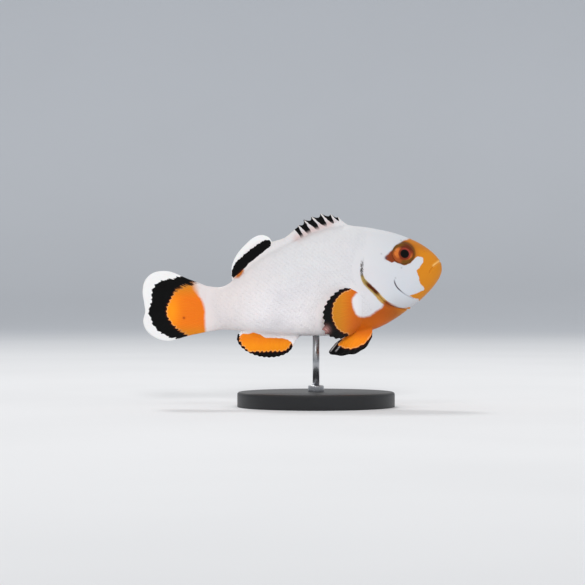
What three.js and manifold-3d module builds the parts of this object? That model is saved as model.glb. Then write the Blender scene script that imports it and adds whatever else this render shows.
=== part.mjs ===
// A clownfish of the platinum colour form, life size, swimming nose-up on a plain display stand.
// Millimetres, +X towards the snout, +Y to the fish's left, +Z up. The origin is the centre of the
// stand's underside. The fish is one lofted body parted by thin cuts, with its fins, eyes and gill
// covers as separate solids that keep a small gap to what they grow from.
import * as THREE from "three";
import { mergeVertices } from "three/addons/utils/BufferGeometryUtils.js";
import Module from "manifold-3d";

const wasm = await Module();
wasm.setup();

// ---------------------------------------------------------------- driving dimensions
const SNOUT_X = 33.55; // tip of the closed mouth
const SNOUT_Z = 36.9;
const BODY_LENGTH = 62.9; // snout to the root of the tail fin
const GAP = 0.15; // between neighbouring solids

// The body's profile: distance behind the snout, height of the back, height of the belly, half-width.
const STATIONS = [
  { behind: 0, back: SNOUT_Z, belly: SNOUT_Z, half: 0 },
  { behind: 1.3, back: 39.95, belly: 33.35, half: 2.75 }, // lips
  { behind: 3.9, back: 42.3, belly: 30.25, half: 4.15 }, // nostrils
  { behind: 7.2, back: 44.25, belly: 27.35, half: 5.15 }, // front of the eye
  { behind: 13.0, back: 46.4, belly: 23.15, half: 6.1 }, // back of the eye
  { behind: 17.0, back: 47.3, belly: 21.05, half: 6.55 }, // cheek
  { behind: 21.3, back: 48.0, belly: 19.75, half: 6.7 }, // gill opening
  { behind: 25.8, back: 48.2, belly: 19.15, half: 6.6 }, // first spine of the back fin
  { behind: 30.5, back: 47.6, belly: 18.95, half: 6.3 },
  { behind: 36.5, back: 45.6, belly: 18.95, half: 5.75 },
  { behind: 41.0, back: 43.6, belly: 18.9, half: 5.2 }, // front of the anal fin
  { behind: 47.1, back: 40.4, belly: 19.2, half: 4.3 },
  { behind: 51.1, back: 37.5, belly: 19.75, half: 3.65 },
  { behind: 54.5, back: 34.5, belly: 20.35, half: 3.1 }, // back of the rear fins
  { behind: 58.6, back: 32.0, belly: 20.55, half: 2.45 }, // narrowest part of the tail stalk
  { behind: BODY_LENGTH, back: 32.2, belly: 19.85, half: 1.35 }, // root of the tail fin
];
const WIDEST_LEVEL = 0.52; // height of the widest line, as a share of the depth
const HEAD_FULLNESS = 0.86; // power of the cosine that rounds the section: under 1 is fuller
const STALK_FULLNESS = 1.05;

// The eye stands out of the skin by its dome less its sink.
const EYE = { x: 22.95, z: 40.8, radius: 2.9, dome: 0.85, depth: 1.9, sink: 0.1 };
// The pupil looks a little ahead and down.
const PUPIL = { radius: 1.15, depth: 0.6, proud: 0.06, ahead: 0.3, below: 0.3 };
const GILL_COVER = { depth: 1.2, throat: 1.0 }; // thickness, and half the strip left between the two

const STAND = {
  baseRadius: 21,
  baseHeight: 4,
  edgeRound: 0.8,
  rodRadius: 0.9,
  collarRadius: 2.1,
  collarHeight: 1.6,
  collarChamfer: 0.5,
};

const FIN = { thick: 0.6, root: 1.0 }; // at the margin and at the root of the unpaired fins

// Each fin is a fan of rays from a root line to a margin line, both in side view, as [x, z].
const TAIL_FIN = {
  root: [[-28.6, 32.1], [-29.3, 29.2], [-29.5, 25.9], [-29.3, 22.7], [-28.6, 19.95]],
  margin: [
    [-34.4, 34.2], [-39.2, 36.1], [-43.2, 35.8], [-45.6, 33.8], [-46.3, 30.8],
    [-45.9, 27.9], [-45.6, 25.3], [-46.1, 22.6], [-44.9, 19.9], [-42.0, 18.0],
    [-38.6, 17.6], [-34.6, 18.9],
  ],
  wave: 0.5,
};
const SPINY_FIN = {
  root: [[8.1, 47.3], [4.8, 47.0], [0.6, 46.3], [-4.2, 44.6], [-8.2, 43.1], [-11.6, 41.5]],
  // tip of each spine, from the front
  spines: [
    [7.6, 48.7], [5.7, 50.8], [3.8, 51.5], [1.1, 51.7], [-1.4, 50.8], [-3.4, 50.0], [-4.8, 48.4],
    [-5.9, 47.1], [-8.3, 45.1], [-11.0, 44.2],
  ],
  dip: 0.22, // how far the web falls between two tips, as a share of the fin's height
  dipped: 7, // webs that dip, from the front
};
const SOFT_FIN = {
  root: [[-11.95, 41.4], [-14.4, 40.1], [-17.2, 37.7], [-19.6, 35.3], [-21.7, 33.2]],
  margin: [
    [-11.8, 44.0], [-12.6, 45.2], [-14.5, 45.8], [-16.7, 45.1], [-18.8, 43.3], [-20.7, 41.2],
    [-22.0, 38.9], [-22.6, 36.4], [-22.3, 33.6],
  ],
};
const ANAL_FIN = {
  root: [[-5.1, 19.5], [-9.0, 19.7], [-13.4, 20.0], [-16.8, 20.6], [-19.3, 21.1]],
  margin: [
    [-5.4, 17.7], [-6.9, 15.0], [-9.4, 13.6], [-12.9, 13.2], [-16.3, 13.8], [-19.2, 15.3],
    [-20.9, 17.4], [-20.9, 19.2], [-19.9, 20.1],
  ],
};
const PECTORAL_FIN = {
  root: [[10.9, 29.9], [11.3, 28.3], [11.4, 26.3], [11.4, 24.2], [11.5, 21.8]],
  margin: [
    [8.9, 31.3], [6.4, 31.2], [3.9, 29.4], [2.2, 26.8], [1.6, 24.1], [2.1, 21.5], [3.8, 19.2],
    [6.0, 18.2], [8.1, 18.4], [9.7, 19.4],
  ],
  flareDeg: 36, // opened away from the flank
  cup: [1.5, 0.6], // how far the upper and the lower edge bend back to the flank
  sunk: 0.8, // depth of the root inside the flank
  thick: 0.55,
  rootThick: 1.3,
};
const PELVIC_FIN = {
  root: [[15.0, 21.2], [13.7, 20.7], [12.2, 20.4], [10.8, 20.3]],
  margin: [
    [14.9, 18.8], [13.6, 16.4], [11.2, 14.6], [8.2, 13.9], [5.2, 13.8], [3.6, 14.6], [5.4, 17.0],
    [8.4, 19.0],
  ],
  splayDeg: 20,
  offset: 1.7, // root's distance from the midline
  thick: 0.55,
  rootThick: 1.0,
};

// Side-view lines of the thin cuts, as [x, z], each from its upper end.
const GILL_OPENING = [
  [13.6, 50], [12.3, 42], [12.2, 38.6], [12.7, 35.3], [14.5, 32.3], [17.0, 29.7], [19.6, 27.5],
  [22.4, 26.4], [25.8, 26.0], [28.5, 23.5],
];
const COVER_EDGE = [
  [9.0, 41.4], [13.0, 41.3], [16.6, 40.9], [18.7, 39.9], [19.7, 38.2], [20.3, 35.9], [20.7, 34.1],
  [21.9, 32.1], [24.8, 29.5], [27.4, 28.1],
];
const COVER_BEHIND = [[28.0, 24.0], [9.0, 24.0]]; // past the head's own edge
const JAW_CUT = [[34.3, 40.3], [32.4, 38.8], [31.1, 37.4], [30.2, 35.7], [29.0, 32.2], [28.3, 26.5]];
const JAW_BELOW = [[36, 24], [36, 40.3]];
const STALK_X = -21.9; // cut between the trunk and the tail stalk
const FAR = 60; // past the fish on every side
const BESIDE = 12; // past its flanks

// How many faces each shape is given, along and around it. The body's rings crowd to the snout.
const CROWDING = 1.6;
const FACETS = {
  body: [37, 24], eye: [18, 10], pupil: 14, cut: 16, jaw: 9, spineWeb: 4, spiny: 2,
  tail: [22, 5], rear: [16, 3], pectoral: [16, 5], pelvic: [11, 3], base: 40, collar: 20, rod: 12,
};

// ---------------------------------------------------------------- colours
const finish = (color, roughness = 0.4) => new THREE.MeshStandardMaterial({ color, roughness, metalness: 0 });
const WHITE_SKIN = finish(0xe4e2e6);
const ORANGE_SKIN = finish(0xdc8425);
const IRIS = finish(0xb4501c, 0.15);
const PUPIL_BLACK = finish(0x050505, 0.08);
const BASE_BLACK = finish(0x17181a, 0.45);
const STEEL = new THREE.MeshStandardMaterial({ color: 0xb9bcc0, roughness: 0.25, metalness: 1 });

// ---------------------------------------------------------------- curves
// A smooth function through (xs, ys), with the slope at each point taken from its neighbours.
function smoothThrough(xs, ys) {
  const last = xs.length - 1;
  const slope = xs.map((x, i) => {
    const a = Math.max(0, i - 1);
    const b = Math.min(last, i + 1);
    return (ys[b] - ys[a]) / (xs[b] - xs[a]);
  });
  return (x) => {
    let i = 0;
    while (i < last - 1 && x > xs[i + 1]) i += 1;
    const span = xs[i + 1] - xs[i];
    const t = Math.min(1, Math.max(0, (x - xs[i]) / span));
    const t2 = t * t;
    const t3 = t2 * t;
    return (
      (2 * t3 - 3 * t2 + 1) * ys[i] + (t3 - 2 * t2 + t) * span * slope[i] +
      (3 * t2 - 2 * t3) * ys[i + 1] + (t3 - t2) * span * slope[i + 1]
    );
  };
}

// A curve through [x, z] points, evenly spaced along its length: place(0) to place(1).
function lineThrough(points) {
  const curve = new THREE.SplineCurve(points.map(([x, z]) => new THREE.Vector2(x, z)));
  return (share) => curve.getPointAt(share);
}

// Near the snout every measure grows with the root of the distance, which gives a round nose.
const reach = STATIONS.map((s) => Math.sqrt(s.behind));
const backAt = smoothThrough(reach, STATIONS.map((s) => s.back));
const bellyAt = smoothThrough(reach, STATIONS.map((s) => s.belly));
const halfAt = smoothThrough(reach, STATIONS.map((s) => s.half));

function sectionAt(behind) {
  const root = Math.sqrt(Math.max(0, behind));
  const back = backAt(root);
  const belly = bellyAt(root);
  const level = belly + WIDEST_LEVEL * (back - belly);
  const power = THREE.MathUtils.lerp(HEAD_FULLNESS, STALK_FULLNESS, behind / BODY_LENGTH);
  return { back, belly, level, half: halfAt(root), power };
}

// Half the body's width at a place in side view.
function flankAt(x, z) {
  const s = sectionAt(SNOUT_X - x);
  const up = z > s.level ? (z - s.level) / (s.back - s.level) : (s.level - z) / (s.level - s.belly);
  return s.half * (1 - Math.min(1, up) ** 2) ** (s.power / 2);
}

// ---------------------------------------------------------------- solids
// A closed geometry as a solid, with its faces turned to point out.
function solidOf(geometry) {
  const bare = geometry.index ? geometry.toNonIndexed() : geometry.clone();
  bare.deleteAttribute("normal");
  bare.deleteAttribute("uv");
  const merged = mergeVertices(bare, 1e-4);
  const vertProperties = merged.attributes.position.array;
  const triVerts = new Uint32Array(merged.index.array);
  const made = new wasm.Manifold(new wasm.Mesh({ numProp: 3, vertProperties, triVerts }));
  if (made.volume() > 0) return made;
  triVerts.reverse();
  return new wasm.Manifold(new wasm.Mesh({ numProp: 3, vertProperties, triVerts }));
}

function geometryOf(solid) {
  const { vertProperties, triVerts } = solid.getMesh();
  const geometry = new THREE.BufferGeometry();
  geometry.setAttribute("position", new THREE.BufferAttribute(vertProperties, 3));
  geometry.setIndex(new THREE.BufferAttribute(triVerts, 1));
  geometry.computeVertexNormals();
  return geometry;
}

// Moves every vertex of a three.js geometry.
function reshape(geometry, place) {
  const position = geometry.attributes.position;
  const v = new THREE.Vector3();
  for (let i = 0; i < position.count; i += 1) {
    v.fromBufferAttribute(position, i);
    const p = place(v);
    position.setXYZ(i, p.x, p.y, p.z);
  }
  return geometry;
}

// The whole body as a ball drawn out between the snout and the tail root, grown by a margin.
function bodySolid(grow) {
  const [along, around] = FACETS.body;
  const ball = new THREE.SphereGeometry(1, around, along);
  return solidOf(reshape(ball, (v) => {
    const share = Math.acos(THREE.MathUtils.clamp(v.y, -1, 1)) / Math.PI; // 0 at the snout
    const behind = Math.min(1, share * (along / (along - 1))) ** CROWDING * BODY_LENGTH;
    const s = sectionAt(behind);
    const ring = Math.hypot(v.x, v.z);
    const c = ring < 1e-6 ? 0 : v.x / ring;
    const n = ring < 1e-6 ? 0 : v.z / ring;
    const wide = Math.max(0.05, s.half + grow);
    const tall = Math.max(0.05, (n > 0 ? s.back - s.level : s.level - s.belly) + grow);
    const push = grow * Math.cos(Math.PI * share);
    return new THREE.Vector3(
      SNOUT_X - behind + push,
      -Math.sign(c) * Math.abs(c) ** s.power * wide * Math.sign(ring),
      s.level + n * tall,
    );
  }));
}

// A sheet of given thickness on a middle surface: middle(u, v) for u, v from 0 to 1.
function sheetSolid(middle, thickAt, across, out) {
  const box = new THREE.BoxGeometry(1, 1, 1, across, out, 1);
  const step = 1e-3;
  return solidOf(reshape(box, (p) => {
    const u = p.x + 0.5;
    const v = p.y + 0.5;
    const here = middle(u, v);
    const alongU = middle(Math.min(1, u + step), v).sub(middle(Math.max(0, u - step), v));
    const alongV = middle(u, Math.min(1, v + step)).sub(middle(u, Math.max(0, v - step)));
    const normal = alongU.cross(alongV).normalize();
    return here.addScaledVector(normal, p.z * thickAt(u, v));
  }));
}

// A solid that reaches right through the fish, with a side-view outline.
function prism(outline) {
  const shape = new THREE.Shape(outline.map(([x, z]) => new THREE.Vector2(x, z)));
  const block = new THREE.ExtrudeGeometry(shape, { depth: 2 * BESIDE, bevelEnabled: false });
  block.rotateX(Math.PI / 2); // the outline's second number becomes the height
  block.translate(0, BESIDE, 0);
  return solidOf(block);
}

// Points along a smooth line, moved by an offset to its left (looking along it).
function sampled(points, count, offset = 0) {
  const place = lineThrough(points);
  return Array.from({ length: count }, (_, i) => {
    const here = place(i / (count - 1));
    const a = place(Math.max(0, i / (count - 1) - 0.01));
    const b = place(Math.min(1, i / (count - 1) + 0.01));
    const along = b.sub(a).normalize();
    return [here.x - along.y * offset, here.y + along.x * offset];
  });
}

// ---------------------------------------------------------------- fins
const lerp2 = (a, b, t) => [a.x + (b.x - a.x) * t, a.y + (b.y - a.y) * t];

function unpairedFin({ root, margin, wave = 0 }, [across, out], marginAt = lineThrough(margin)) {
  const rootAt = lineThrough(root);
  const middle = (u, v) => {
    const [x, z] = lerp2(rootAt(u), marginAt(u), v);
    return new THREE.Vector3(x, wave * v * v * Math.sin(2.6 * Math.PI * u), z);
  };
  return sheetSolid(middle, (u, v) => FIN.root + (FIN.thick - FIN.root) * v, across, out);
}

// The spiny fin's margin runs from tip to tip and dips between them.
function spinyFin() {
  const { root, spines, dip, dipped } = SPINY_FIN;
  const webs = spines.length - 1;
  const tips = spines.map(([x, z]) => new THREE.Vector2(x, z));
  const rootAt = lineThrough(root);
  const marginAt = (u) => {
    const place = u * webs;
    const i = Math.min(webs - 1, Math.floor(place));
    const t = place - i;
    const straight = tips[i].clone().lerp(tips[i + 1], t);
    return straight.lerp(rootAt(u), i < dipped ? dip * 4 * t * (1 - t) : 0);
  };
  return unpairedFin({ root, margin: spines }, [webs * FACETS.spineWeb, FACETS.spiny], marginAt);
}

function pectoralFin(side) {
  const { root, margin, flareDeg, cup, sunk, thick, rootThick } = PECTORAL_FIN;
  const rootAt = lineThrough(root);
  const marginAt = lineThrough(margin);
  const open = Math.tan(THREE.MathUtils.degToRad(flareDeg));
  const middle = (u, v) => {
    const start = rootAt(u);
    const [x, z] = lerp2(start, marginAt(u), v);
    const bend = THREE.MathUtils.lerp(...cup, u) * v * (2 * u - 1) ** 2;
    const y = flankAt(start.x, start.y) - sunk + (start.x - x) * open - bend;
    return new THREE.Vector3(x, side * y, z);
  };
  const thickAt = (u, v) => thick + (rootThick - thick) * (1 - v) ** 2;
  return sheetSolid(middle, thickAt, ...FACETS.pectoral);
}

function pelvicFin(side) {
  const { root, margin, splayDeg, offset, thick, rootThick } = PELVIC_FIN;
  const rootAt = lineThrough(root);
  const marginAt = lineThrough(margin);
  const splay = Math.tan(THREE.MathUtils.degToRad(splayDeg));
  const middle = (u, v) => {
    const start = rootAt(u);
    const [x, z] = lerp2(start, marginAt(u), v);
    return new THREE.Vector3(x, side * (offset + (start.y - z) * splay), z);
  };
  return sheetSolid(middle, (u, v) => rootThick + (thick - rootThick) * v, ...FACETS.pelvic);
}

// ---------------------------------------------------------------- eyes
// Moves a shape made round the Y axis to the eye's seat, where Y becomes the skin's outward normal.
function seated(geometry, side, ahead = 0, above = 0) {
  const step = 0.5;
  const slopeX = (flankAt(EYE.x + step, EYE.z) - flankAt(EYE.x - step, EYE.z)) / (2 * step);
  const slopeZ = (flankAt(EYE.x, EYE.z + step) - flankAt(EYE.x, EYE.z - step)) / (2 * step);
  const outward = new THREE.Vector3(-slopeX, side, -slopeZ).normalize();
  const turn = new THREE.Quaternion().setFromUnitVectors(new THREE.Vector3(0, 1, 0), outward);
  geometry.translate(0, -EYE.sink, 0);
  geometry.applyQuaternion(turn);
  geometry.translate(EYE.x + ahead, side * flankAt(EYE.x, EYE.z), EYE.z + above);
  return solidOf(geometry);
}

// A low dome outside and a deeper bowl inside.
function eyeball(side, grow) {
  const ball = reshape(new THREE.SphereGeometry(1, ...FACETS.eye), (v) => {
    const height = (v.y > 0 ? EYE.dome : EYE.depth) + grow;
    return v.set(v.x * (EYE.radius + grow), v.y * height, v.z * (EYE.radius + grow));
  });
  return seated(ball, side);
}

// A short rod along the eye's axis, from inside the eyeball out past its surface.
function pupilRod(side, grow) {
  const radius = PUPIL.radius + grow;
  const bottom = EYE.dome - PUPIL.depth - grow;
  const top = EYE.dome + 1;
  const rod = new THREE.CylinderGeometry(radius, radius, top - bottom, FACETS.pupil);
  return seated(rod.translate(0, (top + bottom) / 2, 0), side, PUPIL.ahead, -PUPIL.below);
}

// ---------------------------------------------------------------- the fish
const fish = new THREE.Group();
const addPiece = (group, name, solid, material) => {
  const mesh = new THREE.Mesh(geometryOf(solid), material);
  mesh.name = name;
  group.add(mesh);
};

const body = bodySolid(0);
const grownBody = bodySolid(GAP);

// The gill opening parts the head from the trunk, and an upright cut parts the tail stalk.
const ahead = sampled(GILL_OPENING, FACETS.cut);
const behind = sampled(GILL_OPENING, FACETS.cut, -GAP);
const wholeHead = body.intersect(prism([[ahead[0][0], FAR], ...ahead, [FAR, 0], [FAR, FAR]]));
const afterHead = body.intersect(prism([[behind[0][0], FAR], ...behind, [FAR, 0], [-FAR, 0], [-FAR, FAR]]));
const stalkFront = STALK_X - GAP;
const trunk = afterHead.intersect(prism([[STALK_X, 0], [FAR, 0], [FAR, FAR], [STALK_X, FAR]]));
const stalk = afterHead.intersect(prism([[-FAR, 0], [stalkFront, 0], [stalkFront, FAR], [-FAR, FAR]]));

// The lower jaw is cut from the head along the mouth, and the gill covers are plates let into its sides.
const jawSide = prism([...sampled(JAW_CUT, FACETS.jaw), ...JAW_BELOW]);
const jawClear = prism([...sampled(JAW_CUT, FACETS.jaw, -GAP), ...JAW_BELOW]);
const coverSide = prism([...sampled(COVER_EDGE, FACETS.cut), ...COVER_BEHIND]);
const coverClear = prism([...sampled(COVER_EDGE, FACETS.cut, GAP), ...COVER_BEHIND]);
const covers = wholeHead.intersect(coverSide).subtract(bodySolid(-GILL_COVER.depth));
const recess = coverClear.subtract(bodySolid(-GILL_COVER.depth - GAP));
const besides = (side, from) =>
  solidOf(new THREE.BoxGeometry(FAR, FAR, FAR).translate(SNOUT_X, side * (from + FAR / 2), SNOUT_Z));
let head = wholeHead.subtract(jawClear);

for (const [label, side] of [["right", -1], ["left", 1]]) {
  const cover = covers.intersect(besides(side, GILL_COVER.throat));
  head = head.subtract(recess.intersect(besides(side, GILL_COVER.throat - GAP)));
  head = head.subtract(eyeball(side, GAP));
  addPiece(fish, `gill_cover_${label}`, cover, WHITE_SKIN);
  addPiece(fish, `eye_${label}`, eyeball(side, 0).subtract(pupilRod(side, GAP)), IRIS);
  addPiece(fish, `pupil_${label}`, pupilRod(side, 0).intersect(eyeball(side, PUPIL.proud)), PUPIL_BLACK);
  addPiece(fish, `pectoral_fin_${label}`, pectoralFin(side).subtract(grownBody), ORANGE_SKIN);
  addPiece(fish, `pelvic_fin_${label}`, pelvicFin(side).subtract(grownBody), ORANGE_SKIN);
}
addPiece(fish, "head", head, WHITE_SKIN);
addPiece(fish, "lower_jaw", wholeHead.intersect(jawSide), ORANGE_SKIN);
addPiece(fish, "trunk", trunk, WHITE_SKIN);
addPiece(fish, "tail_stalk", stalk, WHITE_SKIN);
addPiece(fish, "tail_fin", unpairedFin(TAIL_FIN, FACETS.tail).subtract(grownBody), ORANGE_SKIN);
addPiece(fish, "dorsal_fin_spiny", spinyFin().subtract(grownBody), WHITE_SKIN);
addPiece(fish, "dorsal_fin_soft", unpairedFin(SOFT_FIN, FACETS.rear).subtract(grownBody), PUPIL_BLACK);
addPiece(fish, "anal_fin", unpairedFin(ANAL_FIN, FACETS.rear).subtract(grownBody), ORANGE_SKIN);

// ---------------------------------------------------------------- the display stand
function turned(profile, sides) {
  const lathe = new THREE.LatheGeometry(profile.map(([r, h]) => new THREE.Vector2(r, h)), sides);
  return solidOf(lathe.rotateX(Math.PI / 2));
}

const stand = new THREE.Group();
const { baseRadius, baseHeight, edgeRound, rodRadius, collarRadius, collarHeight, collarChamfer } = STAND;
const edge = [0, 1, 2, 3].map((i) => {
  const turn = (i / 3) * (Math.PI / 2);
  return [
    baseRadius - edgeRound + edgeRound * Math.cos(turn),
    baseHeight - edgeRound + edgeRound * Math.sin(turn),
  ];
});
const plate = turned([[0, 0], [baseRadius, 0], ...edge, [0, baseHeight]], FACETS.base);
addPiece(stand, "stand_base", plate, BASE_BLACK);

const collarFoot = baseHeight + GAP;
const bore = rodRadius + GAP;
const collarTop = collarFoot + collarHeight;
const collarSection = [
  [bore, collarFoot], [collarRadius, collarFoot], [collarRadius, collarTop - collarChamfer],
  [collarRadius - collarChamfer, collarTop], [bore, collarTop], [bore, collarFoot],
];
addPiece(stand, "stand_collar", turned(collarSection, FACETS.collar), STEEL);

const rodTop = bellyAt(Math.sqrt(SNOUT_X)) + 1; // inside the belly, which then shapes its end
const rod = new THREE.CylinderGeometry(rodRadius, rodRadius, rodTop - collarFoot, FACETS.rod);
rod.rotateX(Math.PI / 2).translate(0, 0, (rodTop + collarFoot) / 2);
addPiece(stand, "stand_rod", solidOf(rod).subtract(grownBody), STEEL);

const model = new THREE.Group();
model.add(fish, stand);

export default model;
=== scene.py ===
"""Looks of a white and orange clownfish on its display stand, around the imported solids.

One skin stands for the flesh and the fins, and the eyes and the stand are pieces of their own.
Shapes are worked out in millimetres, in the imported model's frame: x to the snout, y to the fish's
left, z up. They become metres when a mesh is made.
"""

import math
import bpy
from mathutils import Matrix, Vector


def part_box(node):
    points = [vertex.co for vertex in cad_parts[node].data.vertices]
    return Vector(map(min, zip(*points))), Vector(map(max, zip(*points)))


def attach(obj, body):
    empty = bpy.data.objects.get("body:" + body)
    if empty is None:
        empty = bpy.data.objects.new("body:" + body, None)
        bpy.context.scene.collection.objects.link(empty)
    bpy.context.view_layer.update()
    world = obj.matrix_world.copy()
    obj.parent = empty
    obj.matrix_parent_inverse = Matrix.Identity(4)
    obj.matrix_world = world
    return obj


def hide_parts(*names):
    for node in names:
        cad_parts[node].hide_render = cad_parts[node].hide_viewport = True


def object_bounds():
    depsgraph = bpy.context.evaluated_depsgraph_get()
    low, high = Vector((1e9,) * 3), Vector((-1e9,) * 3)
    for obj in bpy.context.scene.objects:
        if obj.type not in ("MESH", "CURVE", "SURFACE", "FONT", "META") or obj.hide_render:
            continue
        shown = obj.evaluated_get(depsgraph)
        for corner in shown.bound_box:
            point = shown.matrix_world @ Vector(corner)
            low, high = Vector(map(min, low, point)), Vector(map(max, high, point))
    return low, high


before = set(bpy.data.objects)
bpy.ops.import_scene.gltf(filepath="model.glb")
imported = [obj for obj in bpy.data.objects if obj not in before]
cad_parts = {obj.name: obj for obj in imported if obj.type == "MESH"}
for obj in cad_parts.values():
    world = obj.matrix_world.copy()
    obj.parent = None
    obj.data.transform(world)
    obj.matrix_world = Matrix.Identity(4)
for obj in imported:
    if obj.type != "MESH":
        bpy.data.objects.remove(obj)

from types import SimpleNamespace

import bpy
import numpy as np
from mathutils import Vector

MM = 0.001
cad_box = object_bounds()

# ---------------- sizes of the body
SNOUT_X = cad_box[1].x / MM
TAIL_ROOT_X = -28.6
BODY_LENGTH = 62.9
# distance behind the snout, height of the back, height of the belly, half-width
STATIONS = (
    (0, 36.9, 36.9, 0),
    (1.3, 39.95, 33.35, 2.75),  # lips
    (3.9, 42.3, 30.25, 4.15),  # nostrils
    (7.2, 44.25, 27.35, 5.15),  # front of the eye
    (13.0, 46.4, 23.15, 6.1),  # back of the eye
    (17.0, 47.3, 21.05, 6.55),  # cheek
    (21.3, 48.0, 19.75, 6.7),  # gill opening
    (25.8, 48.2, 19.15, 6.6),  # first spine of the back fin
    (30.5, 47.6, 18.95, 6.3),
    (36.5, 45.6, 18.95, 5.75),
    (41.0, 43.6, 18.9, 5.2),  # front of the anal fin
    (47.1, 40.4, 19.2, 4.3),
    (51.1, 37.5, 19.75, 3.65),
    (54.5, 34.5, 20.35, 3.1),  # back of the rear fins
    (58.6, 32.0, 20.55, 2.45),  # narrowest part of the tail stalk
    (BODY_LENGTH, 32.2, 19.85, 1.35),  # root of the tail fin
)
WIDEST_LEVEL = 0.52  # height of the widest line, as a share of the depth
FULLNESS = (0.86, 1.05)  # power of the cosine that rounds the section, at the snout and the tail

EYE = SimpleNamespace(x=22.95, z=40.8, radius=2.9, dome=0.85, depth=1.9, sink=0.1)
PUPIL = SimpleNamespace(radius=1.15, ahead=0.3, below=0.3)  # the fish looks a little ahead and down

# ---------------- sizes of the fins, as (x, z)
TAIL_MARGIN = (
    (-34.4, 34.2), (-39.2, 36.1), (-43.2, 35.8), (-45.6, 33.8), (-46.3, 30.8), (-45.9, 27.9),
    (-45.6, 25.3), (-46.1, 22.6), (-44.9, 19.9), (-42.0, 18.0), (-38.6, 17.6), (-34.6, 18.9),
)
TAIL_WAVE = 0.5  # how far the tail's margin sways to each side
TAIL_RAYS = 18
# where each spine leaves the back, and its tip
SPINE_FEET = (9.3, 8.2, 6.5, 4.5, 2.3, 0.0, -2.6, -4.5, -7.8, -10.9)
SPINE_TIPS = (
    (7.6, 48.7), (5.7, 50.8), (3.8, 51.5), (1.1, 51.7), (-1.4, 50.8),
    (-3.4, 50.0), (-4.8, 48.4), (-5.9, 47.1), (-8.3, 45.1), (-11.0, 44.2),
)
WEB_DIP = 0.22  # how deep a web dips between two spines, as a share of their height
WEBS_JOIN = (5.6, 6.6)  # webs behind these spines reach nearly to the tips
MIDDLE_Z = 30.0  # the back fins lie above this, the anal fin below
SPINY_END_X = -11.8  # where the spiny part of the back fins ends
SOFT_ROOT = ((-11.95, 41.4), (-14.4, 40.1), (-17.2, 37.7), (-19.6, 35.3), (-21.7, 33.2))
SOFT_MARGIN = (
    (-11.8, 44.0), (-12.6, 45.2), (-14.5, 45.8), (-16.7, 45.1), (-18.8, 43.3), (-20.7, 41.2),
    (-22.0, 38.9), (-22.6, 36.4), (-22.3, 33.6),
)
SOFT_RAYS = 15
ANAL_ROOT = ((-5.1, 19.5), (-9.0, 19.7), (-13.4, 20.0), (-16.8, 20.6), (-19.3, 21.1))
ANAL_MARGIN = (
    (-5.4, 17.7), (-6.9, 15.0), (-9.4, 13.6), (-12.9, 13.2), (-16.3, 13.8), (-19.2, 15.3),
    (-20.9, 17.4), (-20.9, 19.2), (-19.9, 20.1),
)
ANAL_RAYS = 17
# half-thickness at the foot and the margin, height and width of the rounded root, width of the round rim,
# and the share of the crest's vertices that a high fin takes
FIN = SimpleNamespace(foot=0.34, edge=0.15, climb=1.2, fillet=1.5, rim=0.2, share=0.68)

# a paired fin's root is sunk into the flank or keeps an offset from the midline; tilt is how fast the fin
# stands off from it, cup how far its first and last ray bend back in, and saw the teeth of its black
PECTORAL = SimpleNamespace(
    root=((11.0, 30.5), (11.3, 28.6), (11.4, 26.3), (11.5, 23.9), (11.6, 21.3)),
    margin=(
        (9.2, 31.7), (6.5, 31.3), (3.9, 29.4), (2.2, 26.8), (1.75, 24.3), (2.1, 22.3), (1.7, 20.6),
        (3.7, 19.0), (5.9, 18.3), (7.9, 18.8), (9.6, 19.5), (10.8, 20.2),
    ),
    tilt=math.tan(math.radians(36)), cup=(1.5, 0.6), sunk=0.8, offset=None, thick=0.3, root_thick=1.3,
    rays=17, grid=(120, 64), serration=0.22, saw=0.13, golden=0.0,
)
PELVIC = SimpleNamespace(
    root=((15.0, 21.2), (13.7, 20.7), (12.2, 20.4), (10.8, 20.3)),
    margin=(
        (14.9, 18.8), (13.6, 16.4), (11.2, 14.6), (8.2, 13.9), (5.2, 13.8), (3.6, 14.6), (5.4, 17.0),
        (8.4, 19.0),
    ),
    tilt=math.tan(math.radians(20)), cup=(0, 0), sunk=0.0, offset=1.7, thick=0.3, root_thick=1.0,
    rays=6, grid=(70, 50), serration=0.14, saw=0.14, golden=0.7,
)

# ---------------- lines and markings, as (x, z)
GILL_OPENING = (
    (12.7, 40.2), (12.2, 38.3), (12.1, 36.4), (12.15, 35.0), (12.85, 33.4), (14.4, 31.8), (15.75, 30.5),
    (16.7, 29.4), (17.8, 28.3), (19.2, 27.35), (20.6, 26.8), (22.4, 26.3), (25.2, 26.0), (27.4, 26.0),
)
CHEEK_EDGE = ((20.6, 34.0), (20.7, 33.1), (21.25, 32.0), (22.2, 31.0), (23.8, 29.8), (25.9, 28.9))
# x, z, size and darkness; the eye's hind corner comes last
PORES = (
    (17.2, 40.7, 0.2, 0.4), (22.5, 44.3, 0.2, 0.4), (22.5, 37.0, 0.2, 0.4), (20.9, 34.3, 0.2, 0.4),
    (18.45, 39.6, 0.42, 0.95),
)
ORBIT = SimpleNamespace(x=23.15, z=40.85, radius=3.1)  # dark skin round the eye
TAIL_DOT = (-35.2, 23.7)
PELVIC_STREAKS = (((5.7, 17.2), (3.9, 15.0)), ((6.9, 17.0), (5.2, 14.9)))
FRAYED = (2.4, 20.7)  # where the pectoral fin's black edge thins to red
MOUTH = ((33.75, 39.2), (32.7, 38.45), (31.3, 37.45), (30.4, 36.45), (30.0, 35.6))
NOSTRIL = (28.6, 41.3)
SPINE_FOOT = ((-4.6, 44.6), (-1.5, 46.4), (1.5, 47.6), (4.0, 48.6))  # where the skin is rosy
LATERAL_LINE = ((13.2, 42.2), (9.0, 44.2), (3.0, 44.6), (-4.0, 42.4), (-11.0, 38.6), (-17.5, 34.6))

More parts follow.
